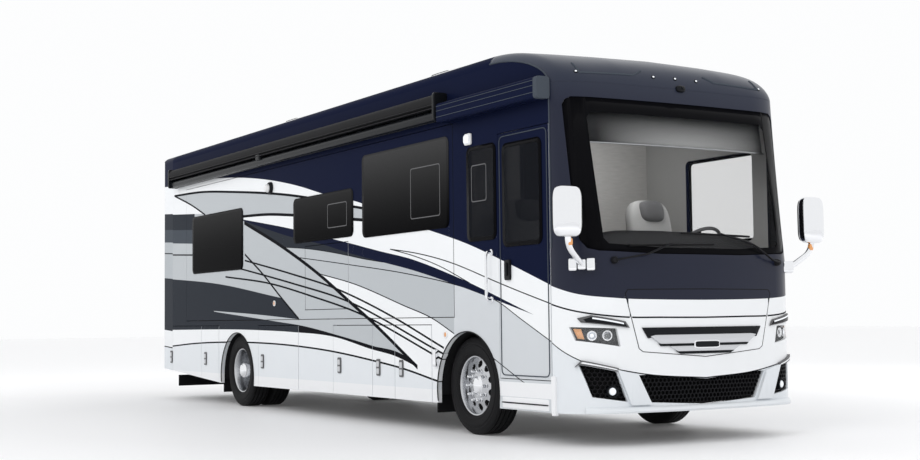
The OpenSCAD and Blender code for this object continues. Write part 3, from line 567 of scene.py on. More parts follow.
def livery():
    """Paint of a side wall, from the back layer to the front one, over X and Z."""
    navy_edge = curve(
        (-5.4, 3.12), (-3.31, 3.06), (-2.6, 3.01), (-0.41, 2.7), (0.27, 2.55), (1.22, 2.37), (2.0, 2.14),
        (2.64, 2.0), (3.47, 1.8), (4.07, 1.62), (4.82, 1.38),
    )
    arc = curve((-4.85, 2.95), (-3.68, 2.91), (-2.6, 2.82), (-0.41, 2.58), (1.02, 2.35), (1.22, 2.32))
    branch = curve((-4.85, 2.95), (-4.06, 2.74), (-3.57, 2.58))
    rear_top = chain((-5.4, 2.71), (-3.4, 2.59))
    rear_mid = chain((-5.4, 2.48), (-4.0, 2.4))
    rear_low = chain((-5.4, 2.285), (-4.0, 2.205))
    rear_thin = chain((-5.4, 2.11), (-4.0, 2.045))
    band = curve((-2.3, 2.47), (-1.32, 2.43), (-0.6, 2.37), (1.02, 2.21), (1.22, 2.19))
    swoosh_top = curve(
        (-2.3, 2.44), (-0.6, 2.2), (0.5, 2.02), (0.87, 1.96), (1.63, 1.83), (2.3, 1.72), (3.2, 1.51),
        (4.54, 1.13),
    )
    swoosh_low = curve(
        (-2.3, 2.43), (-0.6, 2.1), (0.24, 1.97), (0.87, 1.85), (1.63, 1.72), (2.3, 1.61), (3.2, 1.43),
        (4.54, 1.13),
    )
    slate_low = curve((-0.92, 2.0), (-0.26, 1.95), (0.85, 1.82), (1.2, 1.77), (1.7, 1.71))
    thin = curve(
        (-0.42, 1.85), (0.85, 1.72), (2.3, 1.56), (3.2, 1.43), (3.47, 1.38), (3.97, 1.25), (4.32, 1.1),
        (4.82, 0.89),
    )
    steep = curve((-2.16, 2.38), (-0.92, 2.0), (0.12, 1.63), (1.01, 1.26), (1.44, 1.08), (2.43, 0.62))
    steep_low = curve((-2.14, 1.97), (-1.5, 1.67), (-1.0, 1.4), (-0.45, 1.12))
    ray_1 = curve((-2.14, 1.89), (-0.63, 1.66), (0.5, 1.47), (1.95, 1.12), (2.96, 0.82))
    ray_2 = curve((-2.3, 1.79), (-0.63, 1.55), (0.81, 1.32), (2.96, 0.76))
    ray_3 = curve((-2.82, 1.7), (-1.25, 1.56), (-0.05, 1.38), (1.11, 1.18), (2.92, 0.71))
    sweep = curve((0.12, 1.64), (1.01, 1.5), (2.13, 1.25), (2.77, 1.1), (3.16, 0.96))
    line_high = curve(
        (1.86, 1.84), (2.5, 1.76), (3.19, 1.63), (3.47, 1.56), (3.77, 1.48), (4.32, 1.34), (4.82, 1.22)
    )
    line_low = curve((1.86, 1.84), (2.4, 1.74), (2.9, 1.62), (3.46, 1.44))
    dark_top = curve((-5.4, 1.76), (-2.95, 1.6), (-1.04, 1.39))
    wedge_top = curve((-3.24, 1.25), (-1.58, 1.18), (-0.46, 1.12))
    blade_top = curve(
        (-3.24, 1.24), (-1.18, 1.1), (-0.33, 1.04), (0.56, 0.94), (1.41, 0.83), (2.22, 0.71), (2.43, 0.62)
    )
    blade_low = curve(
        (-5.4, 0.99), (-1.71, 0.99), (-0.72, 0.97), (0.56, 0.91), (1.41, 0.79), (1.98, 0.72), (2.43, 0.62)
    )
    skirt_line = curve(
        (-5.4, 0.73), (-3.75, 0.81), (-2.75, 0.83), (-0.46, 0.8), (0.49, 0.75), (1.44, 0.67), (2.12, 0.6),
        (2.86, 0.49),
    )
    lines = (
        (skirt_line, 0.02, REAR, 2.86),
        (ray_1, 0.022, -2.14, 2.96),
        (ray_2, 0.022, -2.3, 2.96),
        (ray_3, 0.022, -2.82, 2.92),
        (steep_low, 0.03, -2.14, -0.45),
        (steep, 0.045, -2.16, 2.43),
        (sweep, 0.012, 0.12, 3.16),
        (thin, 0.01, -0.42, 4.82),
        (line_high, 0.011, 1.86, 4.82),
        (line_low, 0.01, 1.86, 3.46),
        (chain((3.83, 0.75), (4.39, 0.52)), 0.01, 3.83, 4.39),
        (branch, 0.025, -4.85, -3.57),
        (arc, 0.03, -4.85, 1.22),
        (band, 0.035, -2.3, 1.22),
    )
    return [
        field(MIST, 3.16, FORE, 0, TOP),
        field(WHITE, REAR, -4.85, rear_top, TOP),
        field(WHITE, -4.85, -3.57, rear_top, branch),
        field(WHITE, -4.85, 1.22, arc, TOP),
        field(WHITE, -2.17, 1.22, swoosh_top, band),
        field(WHITE, 1.22, 3.2, swoosh_top, TOP),
        field(WHITE, 3.2, FORE, thin, TOP),
        field(CHARCOAL, REAR, -4.0, rear_mid, rear_top),
        field(SLATE, REAR, -4.0, rear_low, rear_mid),
        stripe(BLACK, rear_thin, 0.02, REAR, -4.0),
        field(CHARCOAL, REAR, -0.45, 0, lambda u: np.minimum(dark_top(u), steep_low(u))),
        field(GREY, -3.24, -0.45, blade_top, wedge_top),
        field(CHARCOAL, -2.15, -0.92, steep, swoosh_low),
        field(CHARCOAL, -0.92, 1.7, slate_low, swoosh_low),
        stripe(BLACK, slate_low, 0.008, -0.92, 1.7),
        field(WHITE, 0.12, 2.43, steep, sweep),
        field(WHITE, 2.43, 3.16, 0, sweep),
        field(WHITE, REAR, 2.43, 0, blade_low),
        field(CHARCOAL, -3.24, -0.46, blade_low, blade_top),
        field(BLACK, -0.46, 2.43, blade_low, blade_top),
        field(PEARL, REAR, 3.16, 0, skirt_line),
        *(stripe(BLACK, *line) for line in lines),
        field(NAVY, -2.3, 4.54, swoosh_low, swoosh_top),
        field(NAVY, REAR, FORE, navy_edge, TOP),
        field(SILVER, REAR, 3.9, 0, 0.41),
        field(SILVER, 3.9, FORE, 0.4, 0.53),
    ]


# Where the skirt begins to rise behind the rear axle, and how steeply
RISE_START, RISE_SLOPE = -2.953, 0.061


def skirt_low(u):
    """Lower edge of a side wall, rising behind the rear axle."""
    return sizes().skirt + np.maximum(0, (RISE_START - u) * RISE_SLOPE)


def wall_sheet(side, lift, start, end, low, high, layers, step, looks):
    """A painted sheet beside a side wall: side is -1 for the right and 1 for the left."""
    y = side * (sizes().half + lift)

    def place(u, z):
        return np.stack([u, np.full_like(z, y), z], -1)

    points, quads, tints = film(start, end, low, high, layers, place, step)
    return points, quads[:, ::-side], (looks, tints)


def side_film(name, body, side, start, end, low, high, holes=(), thick=None):
    """Paint of a panel in a side wall.

    Without a thickness it is a film just off the CAD panel, with one it stands for the panel.
    """
    s = sizes()
    layers = livery() + list(holes)
    sheet = wall_sheet(side, 0 if thick else s.lift, start, end, low, high, layers, s.step, list(PAINTS))
    lining = "lining" if thick else None
    return piece(name, body, [sheet], thick or s.film, 0, lining=lining)


# Luggage doors: body, rear end and front end
BAYS = (
    ("bay_right_1", -4.901, -3.733), ("bay_right_2", -3.725, -3.066), ("bay_right_3", -1.69, -0.477),
    ("bay_right_4", 0.486, 1.437), ("bay_right_5", 1.445, 1.944), ("bay_right_6", 1.952, 2.719),
    ("bay_left_1", -4.901, -3.733), ("bay_left_2", -1.69, -0.477), ("bay_left_3", 0.486, 1.437),
    ("bay_left_4", 1.952, 2.719),
)

# Panes, panels and the door in the side walls: rear end, front end, bottom and top
REAR_PANE = (-4.06, -2.205, 1.788, 2.57)
SLIDE_PANE_A = (-0.58, 0.999, 2.036, 2.548)
SLIDE_PANE_B = (1.245, 3.084, 2.003, 2.876)
CAB_PANE = (3.445, 3.94, 1.84, 2.718)
DOOR_PANE = (4.07, 4.687, 1.76, 2.684)
DRIVER_PANE = (3.625, 4.615, 1.83, 2.7)
LEFT_PANE = (1.065, 2.865, 2.003, 2.7)
SLIDE = (-4.325, 3.165, 1.122, 2.992)
HATCH = (-0.265, 0.87, 1.233, 1.971)
DOOR = (3.985, 4.806, 0.562, 2.792)

# Wheel arches: middle along X, middle's height, radius
ARCHES = ((3.4, 0.415, 0.565), (-2.41, 0.39, 0.565))

# Gap round a panel, and the luggage doors' top
SEAM = 0.008
BAY_TOP = 1.042

# Side walls: rear end, top, thickness
WALL_START, WALL_TOP, WALL_THICK = -4.92, 3.44, 0.045

# Panes: corner radius, lap over the wall, black rim, vent's frame, distance from the wall, thickness
PANE_ROUND, PANE_LAP, PANE_RIM, VENT_FRAME, PANE_LIFT, PANE_THICK = 0.06, 0.012, 0.03, 0.009, 0.0075, 0.006

# Each pane's name, body, side, place, look, vent and the node it stands for
PANES = (
    ("pane_slide_rear", "slide_room", -1, REAR_PANE, "glass", None, "slide_glass"),
    ("pane_slide_a", "slide_room", -1, SLIDE_PANE_A, "glass", (0.357, 0.856, 2.15, 2.426), "slide_glass"),
    ("pane_slide_b", "slide_room", -1, SLIDE_PANE_B, "glass", (2.325, 2.927, 2.119, 2.638), "slide_glass"),
    ("pane_door", "entry_door", -1, DOOR_PANE, "glass_cab", None, "entry_glass"),
    ("pane_cab", "coach", -1, CAB_PANE, "glass_cab", (3.52, 3.79, 2.2, 2.55), "side_windows"),
    ("pane_left_rear", "coach", 1, REAR_PANE, "glass", None, "side_windows"),
    ("pane_left", "coach", 1, LEFT_PANE, "glass", (2.2, 2.75, 2.1, 2.55), "side_windows"),
    ("pane_driver", "coach", 1, DRIVER_PANE, "glass_light", None, "side_windows"),
)


def wall_holes(side):
    """Openings of a side wall: arches, luggage doors, and the room, door and panes of that side."""
    found = [arch_hole(*a) for a in ARCHES]
    tag = "bay_right" if side < 0 else "bay_left"
    found += [hole(a - SEAM, b + SEAM, 0, BAY_TOP + SEAM) for name, a, b in BAYS if name.startswith(tag)]
    if side < 0:
        x0, _, z0, z1 = widened(DOOR, SEAM)
        return found + [hole(*widened(SLIDE, SEAM)), hole(x0, FORE, z0, z1), hole(*CAB_PANE, PANE_ROUND)]
    return found + [hole(*p, PANE_ROUND) for p in (REAR_PANE, LEFT_PANE, DRIVER_PANE)]


def wall_top(u):
    """Upper edge of a side wall: level, then down along the cap's arch."""
    arch = brow(cap_end(), np.linspace(1, 0, 80))
    return np.where(u < sizes().brow_x, WALL_TOP, np.interp(u, arch[:, 0], arch[:, 2]))


class COACH_OT_walls(bpy.types.Operator):
    """Painted panels of the fixed side walls, with rubber lips and dark liners in the wheel arches"""

    bl_idname = "coach.walls"
    bl_label = "Side walls"

    def execute(self, context):
        s = sizes()
        arch = brow(cap_end(), np.linspace(0, 1, 40))
        edge = field(NAVY, s.brow_x, FORE, 3.4, TOP, tuple(arch[:, 0]))
        bounds = (WALL_START, s.cap_x, skirt_low, wall_top)
        for side, name in SIDES:
            holes = [edge, *wall_holes(side)]
            wall = side_film(f"wall_{name}", "coach", side, *bounds, holes, WALL_THICK)
            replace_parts(wall, f"{name}_wall")
            lips = []
            liners = []
            for x, z, r in ARCHES:
                low = math.asin((z - s.skirt - 0.02) / r)
                t = np.linspace(-low, math.pi + low, 60)
                y = np.full_like(t, side * (s.half + 0.004))
                ring = np.stack([x + r * np.cos(t), y, z + r * np.sin(t)], -1)
                lips.append(tube(ring, 0.006, "rubber", 10, 1.0, (0, 1, 0)))
                section = [(r + 0.001, side * 1.243), (r + 0.012, side * 1.232), (r + 0.015, side * 0.7)]
                upper = (math.pi - 0.1, TURN + 0.1)
                liners.append(turned(section, (x, 0, z), (0, 1, 0), "liner", 48, upper))
            piece(f"arch_lips_{name}", "coach", lips)
            piece(f"arch_liners_{name}", "coach", liners, 0.004)
        return {"FINISHED"}


class COACH_OT_panels(bpy.types.Operator):
    """Paint films on the slide-out room, its hatch, the entry door and the luggage doors"""

    bl_idname = "coach.panels"
    bl_label = "Moving panels"

    def execute(self, context):
        openings = [hole(*p, PANE_ROUND) for p in (REAR_PANE, SLIDE_PANE_A, SLIDE_PANE_B)]
        openings.append(hole(*widened(HATCH, SEAM)))
        side_film("slide_film", "slide_room", -1, *SLIDE, openings)
        side_film("hatch_film", "tv_hatch", -1, *HATCH)
        side_film("door_film", "entry_door", -1, *DOOR, [hole(*DOOR_PANE, PANE_ROUND)])
        for name, a, b in BAYS:
            side_film(f"{name}_film", name, -1 if "right" in name else 1, a, b, skirt_low, BAY_TOP)
        return {"FINISHED"}


def window(name, body, side, pane, look, vent):
    """A bonded pane, proud of its wall: a black rim, tinted glass, and a vent's frame."""
    outer = widened(pane, PANE_LAP)
    edge = hole(*outer, PANE_ROUND + PANE_LAP)
    layers = [field(0, *outer[:2], 0, TOP, edge[5]), hole(*widened(pane, -PANE_RIM), 0.04, 1)]
    if vent:
        layers += [hole(*vent, 0.03, 2), hole(*widened(vent, -VENT_FRAME), 0.025, 1)]
    # Dark panes take glass whose paler top is a painted reflection
    tinted = pane_glass() if look == "glass" else look
    looks = [tinted if look == "glass" else "frit", tinted, "cast"]
    sheet = wall_sheet(side, PANE_LIFT, *edge[1:5], layers, 0.08, looks)
    return piece(name, body, [sheet], PANE_THICK)


def pane_glass():
    """Nearly black glass with a painted reflection: paler towards its top."""

    def tint(shade):
        # Painted reflection: the glass grows paler towards its top
        share = ((shade.along(2) - 1.85) / 1.1).clamped()
        return shade.mix(share * share, (0.002, 0.002, 0.0025, 1), (0.06, 0.06, 0.061, 1))

    return finish("pane_glass", tint, 0.14, grain=0.1, shine=0.3, ior=1.06, waver=0.05)


class COACH_OT_windows(bpy.types.Operator):
    """Dark bonded panes in the walls, the slide-out room and the door"""

    bl_idname = "coach.windows"
    bl_label = "Side windows"

    def execute(self, context):
        for *pane, node in PANES:
            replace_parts(window(*pane), node)
        return {"FINISHED"}


# The cap: share of its depth lost for each metre of height, thickness, step of the plates on it
CAP_LEAN, CAP_THICK, CAP_STEP = 0.395, 0.03, 0.03


def corner_of_plan():
    """The cap's corner in plan: its turn where the bow ends, and its circle's centre."""
    s = sizes()
    turn = math.asin((s.half - s.corner) / (s.bow - s.corner))
    return turn, s.face_x - s.bow + (s.bow - s.corner) * math.cos(turn), s.half - s.corner


def cap_end():
    """Distance along the cap's plan from its middle to the seam with the side wall."""
    s = sizes()
    turn, x, _ = corner_of_plan()
    return s.bow * turn + s.corner * (math.acos((s.cap_x - x) / s.corner) - turn)


def plan(a):
    """The cap's plan at a distance a from its middle: X, Y and the outward normal.

    A wide arc across the front runs into a tight one at each corner.
    """
    s = sizes()
    turn, x, y = corner_of_plan()
    b = np.abs(a)
    wide = b <= s.bow * turn
    phi = np.where(wide, b / s.bow, turn + (b - s.bow * turn) / s.corner)
    px = np.where(wide, s.face_x - s.bow + s.bow * np.cos(phi), x + s.corner * np.cos(phi))
    py = np.where(wide, s.bow * np.sin(phi), y + s.corner * np.sin(phi))
    return px, np.sign(a) * py, np.cos(phi), np.sign(a) * np.sin(phi)


def arc_at(y):
    """Distance along the cap's plan of a place at Y."""
    s = sizes()
    turn, _, mid = corner_of_plan()
    b = np.abs(y)
    far = np.arcsin(np.clip((b - mid) / s.corner, -1, 1))
    on_bow = s.bow * np.arcsin(np.clip(b / s.bow, 0, 1))
    return np.sign(y) * np.where(b <= s.bow * math.sin(turn), on_bow, s.bow * turn + s.corner * (far - turn))


def front(a, z, out=0.0):
    """Point of the cap at a and z, moved out along its plan's normal.

    Above the sill the plan is drawn back towards the seam in step with the height.
    """
    s = sizes()
    x, y, nx, ny = plan(a)
    lean = 1 - CAP_LEAN * np.maximum(z - s.sill, 0)
    return np.stack(np.broadcast_arrays(s.cap_x + (x - s.cap_x) * lean + nx * out, y + ny * out, z), -1)


def over(points):
    """A chain given over Y and Z as a height over the distance along the cap."""
    y, z = np.array(points).T
    return lambda a: np.interp(plan(a)[1], y, z)


def mirrored(points):
    """A chain on one half, from the middle out, made whole."""
    flipped = [(-y, z) for y, z in points[::-1] if y > 0]
    return flipped + list(points)


def ends(points):
    """Distances along the cap of a chain's corners."""
    return tuple(float(arc_at(y)) for y, _ in points)


def panel(tint, low, high):
    """A layer on the cap between two chains over Y and Z."""
    marks = ends(list(low) + list(high))
    return field(tint, min(marks), max(marks), over(low), over(high), marks)


# Lower and upper edges of the openings in the front, over Y and Z from the middle out
SCREEN_LOW = mirrored(
    [(0, 1.643), (0.45, 1.643), (1.05, 1.668), (1.13, 1.69), (1.175, 1.76), (1.19, 1.85), (1.222, 2.95)]
)
SCREEN_HIGH = mirrored([(0, 3.02), (1.15, 3.02), (1.2, 2.995), (1.222, 2.95)])
HOOD_LOW = mirrored([(0, 0.752), (0.66, 0.803), (0.7, 0.83), (0.826, 1.3)])
HOOD_HIGH = mirrored([(0, 1.336), (0.8, 1.336), (0.826, 1.3)])
GRILLE_LOW = mirrored([(0, 0.336), (0.588, 0.368), (0.718, 0.604)])
GRILLE_HIGH = mirrored([(0, 0.556), (0.64, 0.606), (0.718, 0.604)])
LAMP_LOW = [(0.882, 0.85), (1.214, 0.904), (1.242, 1.02)]
LAMP_HIGH = [(0.882, 0.85), (0.915, 1.005), (1.242, 1.02)]
FOG_LOW = [(0.825, 0.382), (1.12, 0.425), (1.2, 0.7)]
FOG_HIGH = [(0.825, 0.382), (0.925, 0.64), (1.2, 0.7)]


def grown(points, g):
    """A chain moved out by g from the middle of its corners."""
    points = np.array(points)
    middle = points.mean(0)
    return [tuple(p + g * unit(p - middle)) for p in points]


def sided(points, side):
    """A chain of the left half, on the side asked for."""
    return points if side > 0 else [(-y, z) for y, z in points[::-1]]


def on_both(edge):
    """An edge over one half of the cap, mirrored to the other."""
    return lambda a: edge(np.abs(a))


def front_paint():
    """Paint of the upright front, over the distance along the cap and Z."""
    navy = on_both(curve((0, 1.244), (0.45, 1.248), (0.9, 1.262), (1.254, 1.3), (1.54, 1.378)))
    line = on_both(curve((0, 1.091), (0.45, 1.095), (0.9, 1.105), (1.25, 1.15), (1.54, 1.218)))
    seam = on_both(curve((0, 0.563), (0.64, 0.61), (0.93, 0.66), (1.2, 0.72), (1.38, 0.8), (1.54, 0.888)))
    return [
        field(WHITE, -WIDE, WIDE, 0, TOP),
        field(PEARL, -WIDE, WIDE, 0, seam),
        stripe(BLACK, seam, 0.01, -WIDE, WIDE),
        stripe(BLACK, line, 0.014, -WIDE, WIDE),
        field(FRONT, -WIDE, WIDE, navy, TOP),
    ]


def front_looks():
    """Looks of all paints in their order, with the front's navy blended up the brow."""
    looks = list(PAINTS)
    looks[FRONT] = brow_paint()
    return looks


def roof_line(y):
    """Height of the roof over Y: two slopes from the crown, with quarter circles at the edges."""
    s = sizes()
    b = np.abs(y)
    edge = np.maximum(b - (s.half - 0.1), 0)
    return s.roof - 0.03 * b / s.half - 0.1 + np.sqrt(np.maximum(0.01 - edge * edge, 0))


def brow(a, t):
    """Point of the brow: a cubic from the leaning front at t = 0 to the roof's slope at t = 1.

    Its first handle goes on along the front's lean, its last one lies just under the roof. Both grow
    shorter from the middle part's ends to the cap's ends.
    """
    s = sizes()
    drop = 0.01
    middle = 0.6
    x, y, z = np.moveaxis(front(a, s.brow_low), -1, 0)
    top = roof_line(y)
    rise = top - z
    lean = (x - front(a, s.brow_low - drop)[..., 0]) / drop
    share = np.clip((np.abs(a) - middle) / (cap_end() - middle), 0, 1)
    handle = (0.6 - 0.2 * share) * rise
    reach = (0.74 - 0.19 * share) * (x - s.brow_x)
    weights = (1 - t) ** 3, 3 * t * (1 - t) ** 2, 3 * t * t * (1 - t), t**3
    along = x, x + lean * handle, s.brow_x + reach, s.brow_x
    up = z, z + handle, top - 0.16 * rise * (1 - share), top
    x, z = (sum(w * p for w, p in zip(weights, row)) for row in (along, up))
    return np.stack(np.broadcast_arrays(x, y, z), -1)


def stand(surface, a, b):
    """Point of a surface and three directions there: along, up and out."""
    h = 1e-3
    side = unit(surface(a + h, b) - surface(a - h, b))
    up = surface(a, b + h) - surface(a, b - h)
    out = unit(np.cross(side, up))
    return surface(a, b), np.stack([side, np.cross(out, side), out])


def stand_at(y, z):
    """The same on the cap's front, at Y and Z."""
    return stand(front, float(arc_at(y)), z)


def cap_columns():
    """Places across the whole cap, closer together round its corners."""
    bow = sizes().bow * corner_of_plan()[0]
    corner = np.linspace(bow, cap_end(), 50)
    return np.concatenate([-corner[::-1], np.linspace(-bow, bow, 62)[1:-1], corner])


def brow_paint():
    """Front navy that grows lighter up the brow."""

    def tint(shade):
        share = ((shade.along(2) - 2.95) / 0.5).clamped()
        return shade.mix(share, (*paints().front, 1), (*paints().brow, 1))

    return finish("paint_brow_blend", tint, 0.3, 0, 0.05, 0.04, 3.0, shine=0.2, waver=0.08, coat_rough=0.03)


class COACH_OT_front_cap(bpy.types.Operator):
    """Front cap: upright skirt with its openings, leaning frame of the windscreen, brow and arches"""

    bl_idname = "coach.front_cap"
    bl_label = "Front cap"

    def execute(self, context):
        s = sizes()
        end = cap_end()
        columns = cap_columns()
        holes = [
            panel(HOLE, grown(HOOD_LOW, SEAM), grown(HOOD_HIGH, SEAM)),
            panel(HOLE, GRILLE_LOW, GRILLE_HIGH),
        ]
        for low, high in ((LAMP_LOW, LAMP_HIGH), (FOG_LOW, FOG_HIGH)):
            holes += [panel(HOLE, sided(low, side), sided(high, side)) for side in (1, -1)]
        white, navy = (field(tint, -end, end, 0, TOP, tuple(columns)) for tint in (WHITE, FRONT))
        skirt = film(-end, end, s.skirt, s.sill, [white, *front_paint(), *holes], front, MARKS_ONLY)
        opening = panel(HOLE, SCREEN_LOW, SCREEN_HIGH)
        upper = film(-end, end, s.sill, s.brow_low, [navy, opening], front, MARKS_ONLY)
        t = np.linspace(0, 1, 41)
        dome = brow(columns[None, :], t[:, None])
        looks = front_looks()
        for name, sheet, angle in (
            ("skirt", (*skirt[:2], (looks, skirt[2])), 0),
            ("frame", (*upper[:2], (looks, upper[2])), 0),
            ("brow", (dome, grid(*dome.shape[:2]), looks[FRONT]), 60),
        ):
            made = piece(
                f"front_cap_{name}", "coach", [sheet], CAP_THICK, angle, lining="liner"
            )
            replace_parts(made, "front_cap")
        beads = []
        for side in (-1, 1):
            a = side * (end - 0.015)
            arch = brow(a, t[1:]) + np.array([0, side * 0.002, 0.002])
            post = front(a, np.linspace(1.7, s.brow_low, 20), 0.001)
            beads.append(tube(np.concatenate([post, arch]), 0.007, "slate", 8))
        piece("arch_beads", "coach", beads)
        self.brow_trim()
        return {"FINISHED"}

    def brow_trim(self):
        """Marker lamps, a camera pod and two raised ribs on the brow, painted slate, lighter than the brow,
        as a painted highlight of their edges.
        """
        lamps = []
        base = [(0, -0.002), (0.019, -0.002), (0.017, 0.005), (0, 0.007)]
        for a, t in ((-1.08, 0.17), (-0.25, 0.15), (0, 0.15), (0.25, 0.15), (1.08, 0.17)):
            spot, turn = stand(brow, a, t)
            lamps.append(turned(base, spot, turn[2], "rubber", 20))
            lamps.append(bulge(spot + turn[2] * 0.006, (0.011, 0.009, 0.007), "lamp", 1, 1, turn, (10, 16)))
        made = piece("brow_lamps", "coach", lamps)
        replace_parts(made, "marker_lamps")
        spot, turn = stand(front, 0.03, 3.16)
        pod = [
            bulge(spot, (0.05, 0.032, 0.034), "gloss", 0.7, 0.7, turn),
            bulge(spot + turn[2] * 0.03, (0.016, 0.016, 0.008), "glass", 1, 1, turn, (10, 16)),
        ]
        piece("brow_camera", "coach", pod)
        t = np.concatenate([np.linspace(0.34, 0.16, 12), np.full(16, 0.155), np.linspace(0.16, 0.24, 8)])
        a = np.concatenate([np.full(12, 1.05), np.linspace(1.05, 0.5, 16), np.linspace(0.47, 0.36, 8)])
        # Painted highlight: the ribs take slate, lighter than the brow's own navy
        ribs = [tube(brow(side * a, t), 0.009, "slate", 8) for side in (-1, 1)]
        piece("brow_ribs", "coach", ribs)


def on_cap(edge, layers, out, step, looks):
    """A painted sheet on the cap within the bounds of one layer, at a distance out."""
    points, quads, tints = film(*edge[1:5], layers, lambda a, z: front(a, z, out), step)
    return points, quads, (looks, tints)


def relief(low, high, out, look):
    """A sheet on the cap between two chains over Y and Z, at a distance out."""
    edge = panel(0, low, high)
    return on_cap(edge, [edge], out, CAP_STEP, [look])


class COACH_OT_windscreen(bpy.types.Operator):
    """Windscreen with its black border, the roller shade behind it, and the wipers"""

    bl_idname = "coach.windscreen"
    bl_label = "Windscreen and wipers"

    def execute(self, context):
        clear_low = mirrored([(0, 1.7), (0.45, 1.7), (0.96, 1.73), (1.0, 1.78), (1.03, 2.84)])
        clear_high = mirrored([(0, 2.89), (0.98, 2.89), (1.03, 2.84)])
        edge = panel(0, SCREEN_LOW, SCREEN_HIGH)
        glass = on_cap(edge, [edge, panel(1, clear_low, clear_high)], -0.004, 0.04, ["frit", "screen"])
        made = piece("windscreen_glass", "coach", [glass], 0.006)
        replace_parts(made, "windscreen")
        low, high = (mirrored([(0, z), (1.1, z)]) for z in (2.63, 3.03))
        # The roller shade's cloth carries painted light
        cloth = relief(low, high, -0.08, self.shade_cloth())
        piece("roller_shade", "coach", [cloth], 0.004)
        rail = tube(front(np.linspace(-1.15, 1.15, 40), 2.625, -0.075), 0.008, "brushed", 10)
        piece("shade_rail", "coach", [rail])
        self.wipers()
        return {"FINISHED"}

    def shade_cloth(self):
        """Dark cloth with painted light: paler low down and near the middle."""

        def tint(shade):
            # Painted light: the cloth grows paler towards its lower edge and the middle
            low = ((3.02 - shade.along(2)) / 0.39).clamped()
            across = shade.along(1) - 0.1
            middle = (1 - across * across).clamped()
            return shade.mix(low * low * middle, (0.012, 0.012, 0.013, 1), (0.62, 0.625, 0.62, 1))

        return finish("shade_cloth", tint, 0.75, grain=0.15, scale=90)

    def wipers(self):
        """Two wipers at rest: shaft, bent arm and a flat blade that follows the glass."""
        parts = []
        foot = 1.586
        shaft = [(0, -0.002), (0.032, -0.002), (0.03, 0.03), (0.02, 0.045), (0, 0.048)]
        for y, knee, mid, low, high, z0, z1 in (
            (-0.93, (-0.62, 1.64), (-0.36, 1.735), -0.78, 0.12, 1.712, 1.735),
            (0.93, (0.6, 1.74), (0.22, 1.83), 0.58, -0.22, 1.815, 1.83),
        ):
            spot, turn = stand_at(y, foot)
            parts.append(turned(shaft, spot, turn[2], "plastic", 24))
            ys = [y, (y * 2 + knee[0]) / 3, knee[0], (knee[0] + mid[0]) / 2, mid[0]]
            zs = [foot, 1.605, knee[1], (knee[1] + mid[1]) / 2, mid[1]]
            t = np.linspace(0, 4, 24)
            off = np.interp(t, [0, 1, 4], [0.04, 0.05, 0.035])
            arm = front(arc_at(np.interp(t, range(5), ys)), np.interp(t, range(5), zs), off)
            parts.append(tube(arm, 0.014, "plastic", 10, 0.6))
            t = np.linspace(0, 1, 30)
            line = front(arc_at(low + (high - low) * t), z0 + (z1 - z0) * t, 0.018)
            parts.append(tube(line, 0.014, "rubber", 10, 0.7))
        made = piece("wiper_pair", "coach", parts)
        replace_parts(made, "wipers")


# Grille plates on the lid, from the top: lower and upper chain of one half, height, look
GRILLE_PLATES = (
    (
        [(0, 0.945), (0.55, 0.945), (0.6, 0.917), (0.618, 0.917), (0.676, 1.008)],
        [(0, 1.008), (0.676, 1.008)], 0.012, "gloss",
    ),
    (
        [(0, 0.868), (0.5, 0.868), (0.6, 0.934)],
        [(0, 0.943), (0.545, 0.943), (0.6, 0.934)], 0.024, "brushed",
    ),
    ([(0, 0.846), (0.49, 0.846), (0.51, 0.866)], [(0, 0.866), (0.51, 0.866)], 0.014, "gloss"),
    ([(0, 0.8), (0.32, 0.8), (0.4, 0.844)], [(0, 0.844), (0.4, 0.844)], 0.022, "brushed"),
    ([(0, 0.776), (0.28, 0.776), (0.33, 0.798)], [(0, 0.798), (0.33, 0.798)], 0.013, "gloss"),
)


class COACH_OT_hood(bpy.types.Operator):
    """Paint film of the front lid, the layered grille plates and bare badge on it, and the seam round it"""

    bl_idname = "coach.hood"
    bl_label = "Front lid"

    def execute(self, context):
        s = sizes()
        edge = panel(WHITE, HOOD_LOW, HOOD_HIGH)
        sheet = on_cap(edge, [edge, *front_paint()], s.lift, s.step, front_looks())
        piece("hood_film", "front_hood", [sheet], s.film, 0)
        for i, (low, high, out, look) in enumerate(GRILLE_PLATES, 1):
            sheet = relief(mirrored(low), mirrored(high), out, look)
            piece(f"grille_plate_{i}", "front_hood", [sheet], out - 0.0025, soft=0.003)
        ring = np.array(grown(HOOD_LOW, SEAM / 2) + grown(HOOD_HIGH, SEAM / 2)[::-1][1:])
        t = np.linspace(0, len(ring) - 1, 240)
        y, z = (np.interp(t, range(len(ring)), row) for row in ring.T)
        piece("hood_seam", "coach", [tube(front(arc_at(y), z, -0.001), 0.004, "rubber", 8)])
        spot, turn = stand(front, 0.0, 0.857)
        badge = [
            bulge(spot + turn[2] * 0.02, (0.135, 0.026, 0.012), "gloss", 0.3, 0.3, turn),
            bulge(spot + turn[2] * 0.016, (0.146, 0.036, 0.012), "chrome", 0.3, 0.3, turn),
        ]
        piece("grille_badge_place", "front_hood", badge)
        return {"FINISHED"}


